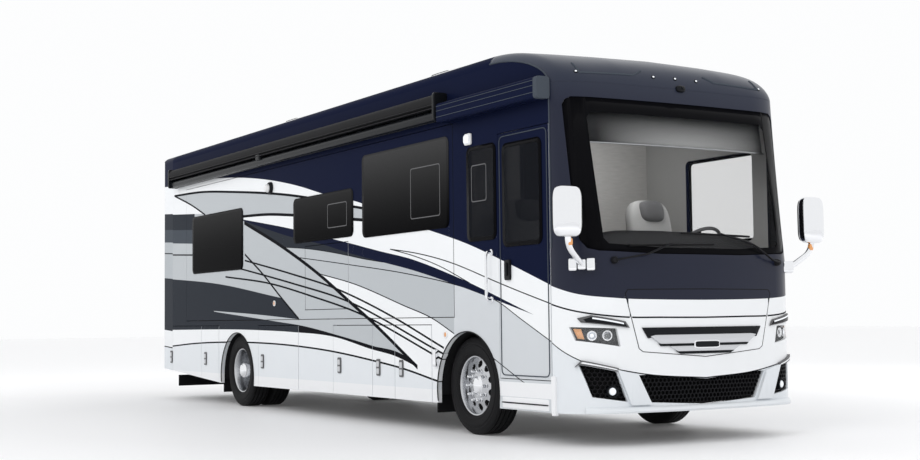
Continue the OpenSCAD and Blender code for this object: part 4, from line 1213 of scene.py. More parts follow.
def honeycomb(inside, out, deep, pitch, look):
    """Hexagonal cells on the cap: six-sided rings at a triangular lattice's places that lie inside."""
    y, z = np.meshgrid(np.arange(-40, 41), np.arange(0, 30))
    places = np.stack([(y + 0.5 * (z % 2)) * pitch, 0.3 + z * pitch * math.sqrt(3) / 2], -1).reshape(-1, 2)
    places = places[inside(places[:, 0], places[:, 1])]
    t = np.arange(6) * TURN / 6 + TURN / 12
    hexagon = np.stack([np.cos(t), np.sin(t)], -1) * pitch / math.sqrt(3)
    rings = [(1.0, 0.0), (0.87, 0.0), (0.84, -deep), (1.0, -deep), (1.0, 0.0)]
    flat = places[:, None, None] + np.array([r for r, _ in rings])[None, :, None, None] * hexagon
    depth = np.array([d for _, d in rings])[None, :, None] + out
    points = front(arc_at(flat[..., 0]), flat[..., 1], np.broadcast_to(depth, flat.shape[:3]))
    one = grid(len(rings), 6, True)
    quads = (one[None] + (np.arange(len(places)) * len(rings) * 6)[:, None, None]).reshape(-1, 4)
    return points, quads, look


def between(low, high, g=0.0):
    """Test of places over Y and Z: between two chains and their ends, at least g from them."""
    (y0, z0), (y1, z1) = np.array(low).T, np.array(high).T

    def test(y, z):
        ok = (y > min(y0.min(), y1.min()) + g) & (y < max(y0.max(), y1.max()) - g)
        return ok & (z > np.interp(y, y0, z0) + g) & (z < np.interp(y, y1, z1) - g)

    return test


# Plates of the bumper's left half: lower and upper chain, height, look
BLADES = (
    (
        [(0.925, 0.65), (1.17, 0.71), (1.185, 0.716)],
        [(0.925, 0.65), (0.935, 0.662), (1.17, 0.724), (1.185, 0.716)], 0.0275, "white",
    ),
    (
        [(0.6, 0.352), (0.8, 0.352), (0.925, 0.655)],
        [(0.6, 0.352), (0.73, 0.61), (0.925, 0.655)], 0.03, "pearl",
    ),
    (
        [(0.9, 0.638), (1.195, 0.702), (1.215, 0.68)],
        [(0.9, 0.638), (0.92, 0.67), (1.18, 0.738), (1.215, 0.68)], 0.026, "cast",
    ),
)

# Heights and reaches of the lip's closed section, from its root round its nose
LIP = ((0.34, 0.0), (0.335, 0.03), (0.322, 0.055), (0.303, 0.062), (0.287, 0.05), (0.285, 0.0), (0.34, 0.0))


class COACH_OT_bumper(bpy.types.Operator):
    """Bumper: honeycomb grilles, fog lamps, angled blades and the lower lip"""

    bl_idname = "coach.bumper"
    bl_label = "Bumper"

    def execute(self, context):
        backs = []
        cells = []
        lamps = []
        blades = []
        left, right = ((sided(FOG_LOW, side), sided(FOG_HIGH, side)) for side in (1, -1))
        for (low, high), pitch in (((GRILLE_LOW, GRILLE_HIGH), 0.042), (right, 0.04), (left, 0.04)):
            backs.append(relief(low, high, -0.05, "liner"))
            cells.append(honeycomb(between(low, high, 0.012), -0.014, 0.03, pitch, "plastic"))
        cup = [(0.0, -0.03), (0.03, -0.03), (0.043, 0.012), (0.052, 0.012), (0.054, -0.03)]
        for side in (-1, 1):
            spot, turn = stand_at(side * 0.965, 0.472)
            lamps.append(turned(cup, spot, turn[2], "gloss", 40))
            lamps.append(bulge(spot, (0.033, 0.033, 0.014), "lamp", 1, 1, turn))
            for low, high, out, look in BLADES:
                blades.append(relief(sided(low, side), sided(high, side), out, look))
        made = piece("bumper_cells", "coach", cells)
        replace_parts(made, "bumper_grilles")
        piece("bumper_backs", "coach", backs, 0.004)
        piece("fog_lamps", "coach", lamps)
        piece("bumper_blades", "coach", blades, 0.032, soft=0.01)
        a = np.linspace(-1.2, 1.2, 60)
        taper = np.sqrt(1 - (a / 1.21) ** 4)
        lip = np.stack([front(a, z, out * taper) for z, out in LIP], 0)
        piece("bumper_lip", "coach", [(lip, grid(*lip.shape[:2]), "pearl")], angle=50)
        return {"FINISHED"}


# Turn lamp in a headlamp, and the lamp bar's two plates: lower and upper chain of the left half
TURN_LAMP = (
    [(1.165, 0.915), (1.205, 0.92), (1.228, 1.005)],
    [(1.165, 0.915), (1.185, 1.003), (1.228, 1.005)],
)
BAR_EDGE = (
    [(0.8, 1.008), (1.18, 1.058), (1.2, 1.095)],
    [(0.8, 1.008), (0.84, 1.064), (1.12, 1.12), (1.2, 1.095)],
)
BAR_FACE = (
    [(0.825, 1.018), (1.15, 1.062), (1.165, 1.085)],
    [(0.825, 1.018), (0.85, 1.052), (1.115, 1.106), (1.165, 1.085)],
)


class COACH_OT_headlamps(bpy.types.Operator):
    """Headlamps with dark housings, projectors, turn lamps and lenses, and the lamp bars above them"""

    bl_idname = "coach.headlamps"
    bl_label = "Headlamps"

    def execute(self, context):
        inner = []
        lenses = []
        bars = []
        lines = []
        for side in (-1, 1):
            for target, (low, high), out, look in (
                (inner, (LAMP_LOW, LAMP_HIGH), -0.05, "plastic"),
                (inner, TURN_LAMP, -0.02, "amber"),
                (lenses, (LAMP_LOW, LAMP_HIGH), -0.003, "lens"),
                (bars, BAR_EDGE, 0.016, "cast"),
                (bars, BAR_FACE, 0.018, "gloss"),
            ):
                target.append(relief(sided(low, side), sided(high, side), out, look))
            for y, r, look in ((1.115, 0.034, "lamp"), (0.995, 0.036, "lens")):
                spot, turn = stand_at(side * y, 0.945)
                cup = [(0, -0.048), (r * 0.6, -0.046), (r, -0.022), (r + 0.006, -0.022), (r + 0.008, -0.049)]
                inner.append(turned(cup, spot, turn[2], "chrome", 40))
                inner.append(bulge(spot - turn[2] * 0.032, (r * 0.6, r * 0.6, 0.016), look, 1, 1, turn))
            line = front(arc_at(side * np.linspace(0.86, 1.11, 24)), np.linspace(1.046, 1.095, 24), 0.018)
            lines.append(tube(line, 0.007, "lamp", 10))
        made = piece("headlamp_inner", "coach", inner, 0.003)
        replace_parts(made, "headlamps")
        piece("headlamp_lens", "coach", lenses, 0.003)
        piece("lamp_bars", "coach", bars, 0.008)
        piece("lamp_lines", "coach", lines)
        return {"FINISHED"}


class COACH_OT_mirrors(bpy.types.Operator):
    """Bright mirror heads on bent arms, with an amber lens on each arm"""

    bl_idname = "coach.mirrors"
    bl_label = "Mirrors"

    def execute(self, context):
        _, cx, cy = corner_of_plan()
        corner = sizes().corner
        turn = math.radians(46)
        for side, name in SIDES:
            out = np.array([math.cos(turn), side * math.sin(turn), 0])
            foot = np.array([cx, side * cy, 1.55]) + corner * out
            head = np.array([5.231, side * 1.4, 1.99])
            face = np.array([[0, side, 0], [0, 0, 1], [1, 0, 0]])
            arm = bend(head - (0, 0, 0.18), (5.221, side * 1.385, 1.69), foot + out * 0.05, radius=0.07)
            parts = [
                bulge(head, (0.13, 0.218, 0.066), "chrome", 0.6, 0.38, face),
                bulge(head - (0.045, 0, 0), (0.112, 0.2, 0.03), "gloss", 0.3, 0.38, face),
                tube(arm, 0.028, "chrome", 20),
                bulge((5.232, side * 1.382, 1.735), (0.02, 0.024, 0.034), "amber", 0.6, 0.6),
            ]
            along = np.array([-out[1], out[0], 0])
            basis = np.array([out, along, [0, 0, 1]])
            for shift, tall in ((-0.078, 0.055), (0, 0.046), (0.078, 0.055)):
                clamp = foot + out * 0.03 + along * shift
                parts.append(bulge(clamp, (0.05, 0.037, tall), "chrome", 0.3, 0.3, basis))
            made = piece(f"mirror_{name}", "coach", parts)
            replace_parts(made, "mirrors")
        return {"FINISHED"}


class COACH_OT_awnings(bpy.types.Operator):
    """Rolled awnings: the long one over the slide-out room and the boxed one over the door"""

    bl_idname = "coach.awnings"
    bl_label = "Awnings"

    def execute(self, context):
        y = -sizes().half
        x0, x1 = -4.705, 3.073
        parts = [
            bar(oblong(y - 0.03, y - 0.001, 3.05, 3.305, 0.01), x0, x1, "gloss"),
            bar(oblong(y - 0.15, y - 0.02, 3.165, 3.3, 0.055), x0, x1, "rubber"),
            bar(oblong(y - 0.12, y - 0.02, 3.045, 3.145, 0.045), x0, x1, "gloss"),
        ]
        for z in (3.158, 3.192):
            parts.append(bar(oblong(y - 0.152, y - 0.1, z - 0.004, z + 0.004, 0.003), x0, x1, "plastic"))
        for x in (x0, x1 - 0.04):
            parts.append(bulge((x + 0.02, y - 0.075, 3.178), (0.022, 0.078, 0.136), "gloss", 0.25, 0.25))
        parts.append(bulge((-1.385, y - 0.1, 3.15), (0.07, 0.045, 0.04), "gloss", 0.4, 0.4))
        made = piece("awning_long", "coach", parts)
        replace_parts(made, "patio_awning")
        x0, x1 = 3.095, 4.84
        parts = [
            bar(oblong(y - 0.138, y - 0.001, 3.006, 3.198, 0.028), x0, x1 - 0.05, "navy"),
            bar(oblong(y - 0.14, y - 0.001, 3.004, 3.2, 0.03), x1 - 0.06, x1, "slate", 0.01),
        ]
        for z in (3.06, 3.12, 3.165):
            outline = oblong(y - 0.1415, y - 0.12, z - 0.003, z + 0.003, 0.002)
            parts.append(bar(outline, x0, x1 - 0.06, "slate"))
        made = piece("awning_door", "coach", parts)
        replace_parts(made, "door_awning")
        return {"FINISHED"}


# Distances of the tyres' middles from the coach's middle: front, outer rear and inner rear
FRONT_TRACK, REAR_TRACK, TWIN_TRACK = 1.075, 1.105, 0.813

# Wheel discs: number of hand holes and of nuts, radius of each ring
SPOKES, HAND_RING, NUT_RING = 10, 0.205, 0.143


class COACH_OT_wheels(bpy.types.Operator):
    """Tyres with grooved treads, and polished disc wheels with nut covers; dents in painted shade stand for
    hand holes
    """

    bl_idname = "coach.wheels"
    bl_label = "Wheels"

    def execute(self, context):
        s = sizes()
        for side, name in SIDES:
            self.pair(f"front_{name}", s.front_axle, side, FRONT_TRACK, None)
            self.pair(f"rear_{name}", s.rear_axle, side, REAR_TRACK, TWIN_TRACK)
        return {"FINISHED"}

    def tread(self):
        """Closed profile of a tyre: bead, rounded wall with rings, shoulder, a tread with four grooves."""
        s = sizes()
        w = s.tyre_width / 2
        wall = [
            (-0.004, 0.024), (0.012, 0.01), (0.03, 0.004), (0.034, 0.006), (0.07, 0), (0.1, 0.001),
            (0.103, 0.005), (0.12, 0.006), (0.123, 0.004),
        ]
        shoulder = [(0.03, 0.01), (0.012, 0.018), (0.004, 0.028), (0, 0.036)]
        half = [(s.rim + r, w - inset) for r, inset in wall]
        half += [(s.tyre - drop, w - inset) for drop, inset in shoulder]
        for groove in (0.075, 0.027):
            for drop, shift in ((0, 0.006), (0.013, 0.004), (0.013, -0.004), (0, -0.006)):
                half.append((s.tyre - drop, groove + shift))
        half = np.array(half)
        return np.concatenate([half, half[::-1] * (1, -1), half[:1]])

    def pair(self, name, x, side, track, twin):
        """One hub's tyres and wheels; twin is the inner tyre's place, if there is one."""
        s = sizes()
        r = s.rim
        axis = np.array([0.0, float(side), 0.0])
        centres = [np.array([x, side * t, s.tyre]) for t in (track, twin) if t]
        rubber = [turned(self.tread(), centre, axis, "tyre", 96) for centre in centres]
        made = piece(f"tyre_{name}_skin", f"wheel_{name}", rubber, angle=25)
        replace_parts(made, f"tyre_{name}")
        rim = [
            (r - 0.002, -0.1), (r - 0.024, -0.1), (r - 0.03, 0.0), (r - 0.022, 0.085), (r - 0.014, 0.1),
            (r + 0.008, 0.108), (r + 0.008, 0.1), (r - 0.002, 0.09), (r - 0.002, -0.1),
        ]
        parts = [turned(rim, centre, axis, "polished", 96) for centre in centres]
        deep = -0.125 if twin else 0.06
        parts += self.disc(centres[0], axis, r - 0.026, deep, bool(twin))
        made = piece(f"wheel_{name}_metal", f"wheel_{name}", parts, angle=40)
        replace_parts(made, f"wheel_{name}")

    def disc(self, centre, axis, reach, deep, rear):
        """Wheel disc: a height over radius and angle, a crown pressed in at the hand holes and dark there as
        painted shade, and its hub.
        """
        radii = np.linspace(0.06, reach, 60)[:, None]
        t = np.arange(240) * TURN / 240
        bell = (0.035 if rear else 0.022) * np.cos(np.clip((radii - 0.09) / (reach - 0.09), 0, 1) * math.pi)
        crown = deep + (-bell if rear else bell) * np.ones_like(t)
        off = t % (TURN / SPOKES) - TURN / SPOKES / 2
        near = np.hypot(radii * np.cos(off) - HAND_RING, radii * np.sin(off))
        pressed = np.clip((0.034 - near) / 0.005, 0, 1)
        height = crown - 0.03 * pressed * pressed * (3 - 2 * pressed)
        back = crown[::-1] - 0.045
        first = np.array([1.0, 0.0, 0.0])
        second = np.cross(axis, first)
        ring = np.cos(t)[:, None] * first + np.sin(t)[:, None] * second
        sheet = centre + radii[..., None] * ring + height[..., None] * axis
        under = centre + radii[::-1, :, None] * ring + back[..., None] * axis
        whole = np.concatenate([sheet, under, sheet[:1]])
        quads = grid(len(whole), len(t), True)
        # Painted shade: the dents at the hand holes take the dark liner look in place of open holes
        dark = np.concatenate([pressed, np.zeros_like(pressed), pressed[:1]]).ravel()
        index = (dark[quads].mean(1) > 0.1).astype(int)
        top = 0.13 if rear else 0.112
        base = float(crown[4, 0]) - 0.02
        hub = [
            (0, base), (0.098, base), (0.098, top - 0.045), (0.09, top - 0.03), (0.075, top - 0.022),
            (0.07, top - 0.012), (0.045, top - 0.003), (0, top),
        ]
        parts = [(whole, quads, (["polished", "liner"], index)), turned(hub, centre, axis, "chrome", 64)]
        lift = float(np.interp(NUT_RING, radii[:, 0], crown[:, 0]))
        nut = [
            (0, lift - 0.01), (0.021, lift - 0.01), (0.021, lift + 0.004), (0.0165, lift + 0.008),
            (0.0155, lift + 0.04), (0.01, lift + 0.05), (0, lift + 0.053),
        ]
        for i in range(SPOKES):
            a = TURN * i / SPOKES
            arm = math.cos(a) * first + math.sin(a) * second
            parts.append(turned(nut, centre + NUT_RING * arm, axis, "chrome", 16))
        return parts


class COACH_OT_rear(bpy.types.Operator):
    """Rear: lamps, slats of the engine hatch and a plate's blank place"""

    bl_idname = "coach.rear"
    bl_label = "Rear"

    def execute(self, context):
        x = -5.38
        lamp_y = 1.0175
        lamps = []
        basis = np.array([[0, 1, 0], [0, 0, 1], [1, 0, 0]])
        for y in (-lamp_y, lamp_y):
            for z, half, look in ((1.31, 0.09, "red"), (1.13, 0.075, "amber"), (0.975, 0.06, "red")):
                lamps.append(bulge((x + 0.006, y, z), (0.1, half, 0.022), look, 0.5, 0.35, basis))
            lamps.append(bulge((x + 0.02, y, 1.16), (0.022, 0.11, 0.258), "plastic", 0.25, 0.25))
        made = piece("tail_lamp_set", "coach", lamps)
        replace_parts(made, "tail_lamps")
        section = np.array([(0.0, 0.0), (-0.022, -0.03), (-0.022, -0.036), (-0.002, -0.03), (0.0, -0.02)])
        slats = []
        for z in np.arange(0.98, 1.62, 0.07):
            points, quads, look = bar(section + (x, z), -0.62, 0.62, "plastic")
            slats.append((points[..., [1, 0, 2]], quads, look))
        piece("hatch_slats", "engine_hatch", slats)
        plate = bulge((x - 0.004, 0, 0.88), (0.16, 0.08, 0.006), "pod", 0.2, 0.2, basis)
        piece("plate_place", "engine_hatch", [plate])
        return {"FINISHED"}


# Luggage door handles on the right: the body each one rides and its place
HANDLES = (
    ("coach", -4.949), ("bay_right_2", -3.553), ("bay_right_3", -1.55), ("bay_right_4", 0.647),
    ("bay_right_5", 1.588), ("bay_right_6", 2.098),
)


class COACH_OT_fittings(bpy.types.Operator):
    """Small outside fittings: handles, camera, marker and porch lamps, rail, door bead, cover and step box"""

    bl_idname = "coach.fittings"
    bl_label = "Fittings"

    def execute(self, context):
        y = -sizes().half
        flat = np.array([[1, 0, 0], [0, 0, 1], [0, 1, 0]])
        for i, (body, x) in enumerate(HANDLES):
            parts = [bulge((x, y - 0.008, 0.6), (0.04, 0.088, 0.007), "cast", 0.25, 0.25, flat)]
            for z in (0.635, 0.56):
                parts.append(bulge((x, y - 0.013, z), (0.028, 0.03, 0.006), "brushed", 0.3, 0.3, flat))
            piece(f"bay_handle_{i + 1}", body, parts)
        foot = [(0, 0.0), (0.075, 0.0), (0.07, 0.03), (0.056, 0.042), (0, 0.042)]
        ball = [
            turned(foot, (-1.282, y, 2.758), (0, -1, 0), "plastic", 40),
            bulge((-1.282, y - 0.045, 2.752), (0.052, 0.045, 0.052), "pod", 1, 1),
        ]
        piece("side_camera", "slide_room", ball)
        piece("slide_marker", "slide_room", self.marker(-1.18, -1, 1.32))
        markers = []
        for place in ((3.0, -1, 0.95), (3.0, 1, 0.95), (-1.18, 1, 1.32)):
            markers += self.marker(*place)
        markers.append(bulge((3.469, y - 0.016, 2.808), (0.05, 0.022, 0.045), "lamp", 0.5, 0.5))
        markers.append(bulge((3.469, y - 0.006, 2.808), (0.06, 0.012, 0.055), "pod", 0.3, 0.3))
        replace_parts(piece("side_markers", "coach", markers), "marker_lamps")
        self.rail(y)
        self.door_trim(y)
        cover = [bulge((2.823, y - 0.02, 0.72), (0.03, 0.02, 0.085), "chrome", 0.3, 0.3)]
        piece("charge_cover", "coach", cover)
        step_box = [
            bulge((4.383, y + 0.09, 0.344), (0.383, 0.1, 0.053), "silver", 0.15, 0.15),
            bulge((4.383, y - 0.008, 0.345), (0.37, 0.008, 0.006), "plastic", 0.3, 0.3),
            bulge((4.84, y + 0.005, 0.43), (0.03, 0.022, 0.17), "silver", 0.2, 0.2),
        ]
        piece("step_box", "coach", step_box)
        return {"FINISHED"}

    def marker(self, x, side, z):
        """A round amber lamp in a pale ring on a side wall."""
        spot = np.array([x, side * sizes().half, z])
        ring = [(0.022, 0.0), (0.036, 0.0), (0.034, 0.008), (0.024, 0.01), (0.022, 0.0)]
        lamp = bulge(spot, (0.024, 0.013, 0.024), "amber", 1, 1, steps=(14, 24))
        return [turned(ring, spot, (0, side, 0), "pod", 32), lamp]

    def rail(self, y):
        """A bright rail beside the door, bent into the wall at both ends, with a cup at each."""
        x, low, high = 3.855, 1.275, 1.713
        off = y - 0.062
        path = bend((x, y, low), (x, off, low - 0.013), (x, off, high + 0.013), (x, y, high), radius=0.05)
        cup = [(0, 0), (0.03, 0), (0.028, 0.008), (0.016, 0.014), (0, 0.014)]
        parts = [tube(path, 0.014, "chrome", 16, 1.0, (1, 0, 0))]
        parts += [turned(cup, (x, y, z), (0, -1, 0), "chrome", 32) for z in (low, high)]
        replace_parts(piece("rail_bright", "coach", parts), "grab_rail")

    def door_trim(self, y):
        """The door's grip and the bead round its panel, which starts and ends at the same height."""
        x0, x1, z0, z1 = widened(DOOR, -0.028)
        start = 1.0
        corners = ((x0, start), (x0, z0), (x1, z0), (x1, z1), (x0, z1), (x0, start + 0.001))
        bead = bend(*[(x, y - 0.004, z) for x, z in corners], radius=0.06)
        parts = [
            bulge((4.145, y - 0.012, 1.538), (0.045, 0.014, 0.092), "plastic", 0.25, 0.25),
            bulge((4.15, y - 0.03, 1.545), (0.016, 0.012, 0.06), "gloss", 0.4, 0.4),
            tube(bead, 0.005, "slate", 8, 1.0, (0, 1, 0)),
        ]
        piece("door_fittings", "entry_door", parts)


class COACH_OT_cabin(bpy.types.Operator):
    """What shows through the windscreen: padded seats on posts, the dashboard's top, the steering wheel"""

    bl_idname = "coach.cabin"
    bl_label = "Cabin"

    def execute(self, context):
        floor = 1.116
        lean = math.radians(10)
        c, s = math.cos(lean), math.sin(lean)
        back = np.array([[c, 0, s], [0, 1, 0], [-s, 0, c]])
        post = [
            (0, floor), (0.16, floor), (0.15, floor + 0.05), (0.07, floor + 0.12), (0.07, floor + 0.3),
            (0.2, floor + 0.33), (0, floor + 0.34),
        ]
        posts = []
        for name, x, y in (("driver", 4.115, 0.62), ("passenger", 3.785, -0.64)):
            head = (0.07, 0.15, 0.11)
            arm = (0.2, 0.04, 0.035)
            pads = {
                "cushion": [bulge((x, y, floor + 0.41), (0.27, 0.26, 0.085), "leather", 0.55, 0.4)],
                "back": [bulge((x - 0.31, y, floor + 0.75), (0.09, 0.26, 0.4), "leather", 0.5, 0.6, back)],
                "head": [bulge((x - 0.3, y, floor + 1.03), head, "leather_dark", 0.6, 0.7, back)],
                "arms": [
                    bulge((x - 0.06, y + off, floor + 0.64), arm, "leather_dark", 0.6, 0.6)
                    for off in (-0.29, 0.29)
                ],
            }
            for part, surfaces in pads.items():
                made = piece(f"seat_{name}_{part}", "coach", surfaces)
                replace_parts(made, "cab_seats")
            posts.append(turned(post, (x, y, 0), (0, 0, 1), "plastic", 40))
        piece("seat_posts", "coach", posts)
        self.cowl()
        self.wheel()
        return {"FINISHED"}

    def cowl(self):
        """Padded top of the dashboard: a rounded section whose height follows a curve over Y."""
        end, base = 1.08, 1.6
        crest = curve(
            (-end, 1.74), (-0.8, 1.84), (-0.3, 1.875), (0.2, 1.87), (0.6, 1.86), (0.95, 1.8), (end, 1.74)
        )
        y = np.linspace(-end, end, 60)[:, None]
        t = np.linspace(0, TURN, 24, endpoint=False)
        tall = np.maximum((crest(y) - base) * np.sin(t), -0.06)
        points = np.stack(np.broadcast_arrays(4.86 + 0.13 * np.cos(t), y, base + tall), -1)
        middle = np.broadcast_to(points.mean(1, keepdims=True), points.shape)
        points = np.concatenate([middle[:1], points, middle[-1:]])
        piece("dash_cowl", "coach", [(points, grid(*points.shape[:2], True), "dash")])

    def wheel(self):
        """Steering wheel: a round rim, a hub and three flat arms, square to the tilted column."""
        tilt = math.radians(40)
        axis = np.array([-math.sin(tilt), 0, math.cos(tilt)])
        centre = np.array([4.535, 0.62, 1.79])
        t = np.linspace(0, TURN, 17)
        rim = np.stack([0.215 + 0.017 * np.cos(t), 0.017 * np.sin(t)], -1)
        hub = [(0, -0.03), (0.06, -0.03), (0.075, 0.0), (0.06, 0.02), (0, 0.026)]
        parts = [turned(rim, centre, axis, "leather_dark", 72), turned(hub, centre, axis, "plastic", 40)]
        side = np.array([0.0, 1.0, 0.0])
        for a in np.radians((90, 210, 330)):
            arm = math.cos(a) * np.cross(side, axis) + math.sin(a) * side
            path = centre + np.linspace(0.04, 0.212, 8)[:, None] * arm
            parts.append(tube(path, 0.017, "plastic", 12, 0.5, axis))
        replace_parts(piece("wheel_cabin", "steering_wheel", parts), "steering_wheel")


class COACH_OT_roof(bpy.types.Operator):
    """Roof units: two cooler pods with ribs and three vent lids"""

    bl_idname = "coach.roof"
    bl_label = "Roof units"

    def execute(self, context):
        parts = []
        top = sizes().roof
        for x in (1.5, -2.6):
            parts.append(bulge((x, 0, top + 0.14), (0.52, 0.42, 0.165), "pod", 0.45, 0.35))
            for y in np.linspace(-0.3, 0.3, 7):
                parts.append(bulge((x - 0.25, y, top + 0.29), (0.2, 0.012, 0.018), "plastic", 0.4, 0.4))
        for x in (3.2, -0.6, -4.1):
            parts.append(bulge((x, 0, top + 0.045), (0.21, 0.21, 0.066), "pod", 0.35, 0.25))
        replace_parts(piece("roof_pods", "coach", parts), "roof_units")
        return {"FINISHED"}


class COACH_OT_frame(bpy.types.Operator):
    """Procedural finishes on the CAD nodes that stay in view"""

    bl_idname = "coach.frame"
    bl_label = "CAD finishes"

    def execute(self, context):
        looks = {
            "chassis_frame": "frame", "front_axle": "frame", "rear_axle": "frame", "air_suspension": "rubber",
            "engine": "cast", "floor_deck": "deck", "storage_bays": "liner", "entry_steps": "plastic",
            "dashboard": "dash", "cabin_furniture": "wood", "mud_flaps": "rubber",
            "knuckle_right": "cast", "knuckle_left": "cast",
            "right_wall": "charcoal", "left_wall": "charcoal", "slide_room": "charcoal",
            "roof_shell": self.roof_paint(), "rear_cap": self.rear_paint(), "engine_hatch": self.rear_paint(),
        }
        for name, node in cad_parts.items():
            node.data.materials.clear()
            node.data.materials.append(material(looks.get(name, "pearl")))
        return {"FINISHED"}

    def roof_paint(self):
        """White roof with the side's navy carried over its edge."""

        def tint(shade):
            return shade.mix(shade.along(2) > 3.553, (*paints().navy, 1), (*paints().white, 1))

        return finish("paint_roof", tint, 0.4, scale=4.0, shine=0.2, ior=1.07)

    def rear_paint(self):
        """Bands of the side's paint carried round the rear: a colour for each height, sloped along X."""
        slope = 0.057
        steps = (
            (0.74, "black"), (0.76, "white"), (0.99, "charcoal"), (1.76, "grey"), (2.11, "black"),
            (2.13, "grey"), (2.285, "slate"), (2.48, "charcoal"), (2.71, "white"), (3.12, "navy"),
        )

        def tint(shade):
            height = shade.along(2) + (shade.along(0) - REAR) * slope
            ramp = shade.node("ShaderNodeValToRGB", None, (height / TOP,))
            bands = ramp.socket.node.color_ramp
            bands.interpolation = "CONSTANT"
            bands.elements[0].color = (*paints().pearl, 1)
            bands.elements[0].position = 0
            bands.elements.remove(bands.elements[1])
            for z, name in steps:
                bands.elements.new(z / TOP).color = (*getattr(paints(), name), 1)
            return ramp

        return finish("paint_rear_bands", tint, 0.32, grain=0.04, scale=3.0, shine=0.3, ior=1.1, waver=0.08)


# The photo's view: place, lens, and turns in degrees about the upright, across and along the view
VIEW_PLACE, VIEW_LENS = (14.718, -8.13, 1.097), 54.36
VIEW_YAW, VIEW_PITCH, VIEW_ROLL = 30.91, 3.68, -0.66

# Soft lamps: place, power, size and what each one points at
COACH_MIDDLE = (1.5, 0, 1.2)
LAMPS = (
    ((9, -13, 10), 590, 9, COACH_MIDDLE),
    ((17, 3, 9), 320, 8, COACH_MIDDLE),
    ((-8, -12, 9), 420, 9, COACH_MIDDLE),
    ((2, 12, 9), 500, 9, COACH_MIDDLE),
    ((4.1, 0.1, 2.95), 9, 0.6, (3.2, 0.2, 1.9)),
)

# The floor's reach each way and its rows of points
FLOOR_REACH, FLOOR_ROWS = 90, 13


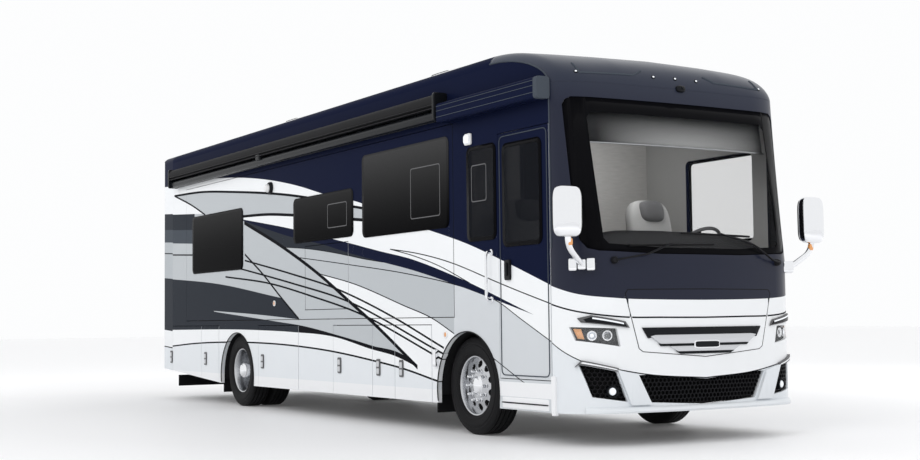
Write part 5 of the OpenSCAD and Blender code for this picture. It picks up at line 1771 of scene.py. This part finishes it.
class COACH_OT_stage(bpy.types.Operator):
    """Pale floor, white surroundings, soft lamps and the camera at the photo's view"""

    bl_idname = "coach.stage"
    bl_label = "Stage"

    def execute(self, context):
        scene = context.scene
        scene.view_settings.view_transform = "Standard"
        self.floor()
        self.sky(scene)
        for place, power, size, target in LAMPS:
            data = bpy.data.lights.new("soft_lamp", "AREA")
            data.energy = power
            data.size = size
            lamp = bpy.data.objects.new("soft_lamp", data)
            lamp.visible_glossy = False
            lamp.visible_camera = False
            scene.collection.objects.link(lamp)
            lamp.matrix_world = self.looking(place, np.subtract(target, place), 0)
        data = bpy.data.cameras.new("view")
        data.lens = VIEW_LENS
        data.sensor_width = 36
        data.clip_end = 300
        view = bpy.data.objects.new("view", data)
        scene.collection.objects.link(view)
        yaw, pitch, roll = np.radians((VIEW_YAW, VIEW_PITCH, VIEW_ROLL))
        aim = np.array([-math.cos(yaw) * math.cos(pitch), math.sin(yaw) * math.cos(pitch), math.sin(pitch)])
        view.matrix_world = self.looking(VIEW_PLACE, aim, roll)
        scene.camera = view
        return {"FINISHED"}

    def looking(self, place, aim, roll):
        """Placement of a camera or lamp that looks along aim, turned by roll."""
        aim = unit(np.asarray(aim, float))
        right = unit(np.cross(aim, (0, 0, 1)))
        up = np.cross(right, aim)
        x = math.cos(roll) * right + math.sin(roll) * up
        y = -math.sin(roll) * right + math.cos(roll) * up
        turn = np.eye(4)
        turn[:3] = np.stack([x, y, -aim, np.asarray(place, float)], -1)
        return Matrix(turn.tolist())

    def floor(self):
        """A level sheet on a grid, wide enough to run out of view."""
        a = np.linspace(-FLOOR_REACH, FLOOR_REACH, FLOOR_ROWS)
        x, y = np.meshgrid(a, a)
        points = np.stack([x, y, np.full_like(x, -0.001)], -1).reshape(-1, 3)
        mesh = bpy.data.meshes.new("floor")
        mesh.from_pydata(points.tolist(), [], grid(FLOOR_ROWS, FLOOR_ROWS).tolist())
        mesh.materials.append(self.floor_paint())
        made = bpy.data.objects.new("floor", mesh)
        bpy.context.scene.collection.objects.link(made)

    def floor_paint(self):
        """Pale floor that glows a little away from the coach, so that it runs into the white behind."""
        shade = Shade("floor_pale")
        far = shade.node("ShaderNodeVectorMath", {"operation": "LENGTH"}, (shade.place(),), "Value")
        share = ((far - 4.5) / 9.0).clamped()
        noise = shade.noise(0.4)
        shade.dress({
            "Base Color": shade.scaled((0.86, 0.86, 0.87), noise * 0.01 + 1),
            "Roughness": noise * 0.1 + 0.5,
            "Specular IOR Level": 0.1,
            "Emission Color": shade.mix(share, (0.2, 0.2, 0.2, 1), (1, 1, 1, 1)),
            "Emission Strength": 0.25,
        })
        return shade.material

    def sky(self, scene):
        """White to the camera, to mirrors and through glass; a plain grey light to all else."""
        world = bpy.data.worlds.new("studio")
        world.use_nodes = True
        scene.world = world
        tree = world.node_tree
        back = tree.nodes["Background"]
        path = tree.nodes.new("ShaderNodeLightPath")
        mix = tree.nodes.new("ShaderNodeMix")
        mix.inputs["A"].default_value = 0.74
        mix.inputs["B"].default_value = 1.0
        back.inputs["Color"].default_value = (0.98, 0.985, 0.99, 1)
        seen = path.outputs["Is Camera Ray"]
        for ray in ("Is Glossy Ray", "Is Transmission Ray"):
            both = tree.nodes.new("ShaderNodeMath")
            both.operation = "MAXIMUM"
            tree.links.new(seen, both.inputs[0])
            tree.links.new(path.outputs[ray], both.inputs[1])
            seen = both.outputs[0]
        tree.links.new(seen, mix.inputs["Factor"])
        tree.links.new(mix.outputs["Result"], back.inputs["Strength"])


class COACH_PT_panel(bpy.types.Panel):
    """Sizes, colours and building steps of the coach"""

    bl_idname = "COACH_PT_panel"
    bl_label = "Coach"
    bl_space_type = "VIEW_3D"
    bl_region_type = "UI"
    bl_category = "Coach"

    def draw(self, context):
        for operator in STEPS:
            self.layout.operator(operator.bl_idname)
        for group in (context.scene.coach_sizes, context.scene.coach_paints):
            for name in group.__annotations__:
                self.layout.prop(group, name)


STEPS = (
    COACH_OT_frame, COACH_OT_walls, COACH_OT_panels, COACH_OT_windows, COACH_OT_front_cap,
    COACH_OT_windscreen, COACH_OT_hood, COACH_OT_bumper, COACH_OT_headlamps, COACH_OT_mirrors,
    COACH_OT_awnings, COACH_OT_wheels, COACH_OT_rear, COACH_OT_fittings, COACH_OT_cabin, COACH_OT_roof,
    COACH_OT_stage,
)
CLASSES = (CoachSizes, CoachPaints, *STEPS, COACH_PT_panel)


def register():
    """Adds the classes and the settings."""
    for each in CLASSES:
        bpy.utils.register_class(each)
    bpy.types.Scene.coach_sizes = bpy.props.PointerProperty(type=CoachSizes)
    bpy.types.Scene.coach_paints = bpy.props.PointerProperty(type=CoachPaints)


def unregister():
    """Takes the settings and the classes away."""
    del bpy.types.Scene.coach_paints
    del bpy.types.Scene.coach_sizes
    for each in reversed(CLASSES):
        bpy.utils.unregister_class(each)


def main():
    """Builds every piece in order."""
    register()
    for operator in STEPS:
        group, name = operator.bl_idname.split(".")
        getattr(getattr(bpy.ops, group), name)()


if __name__ == "__main__":
    main()
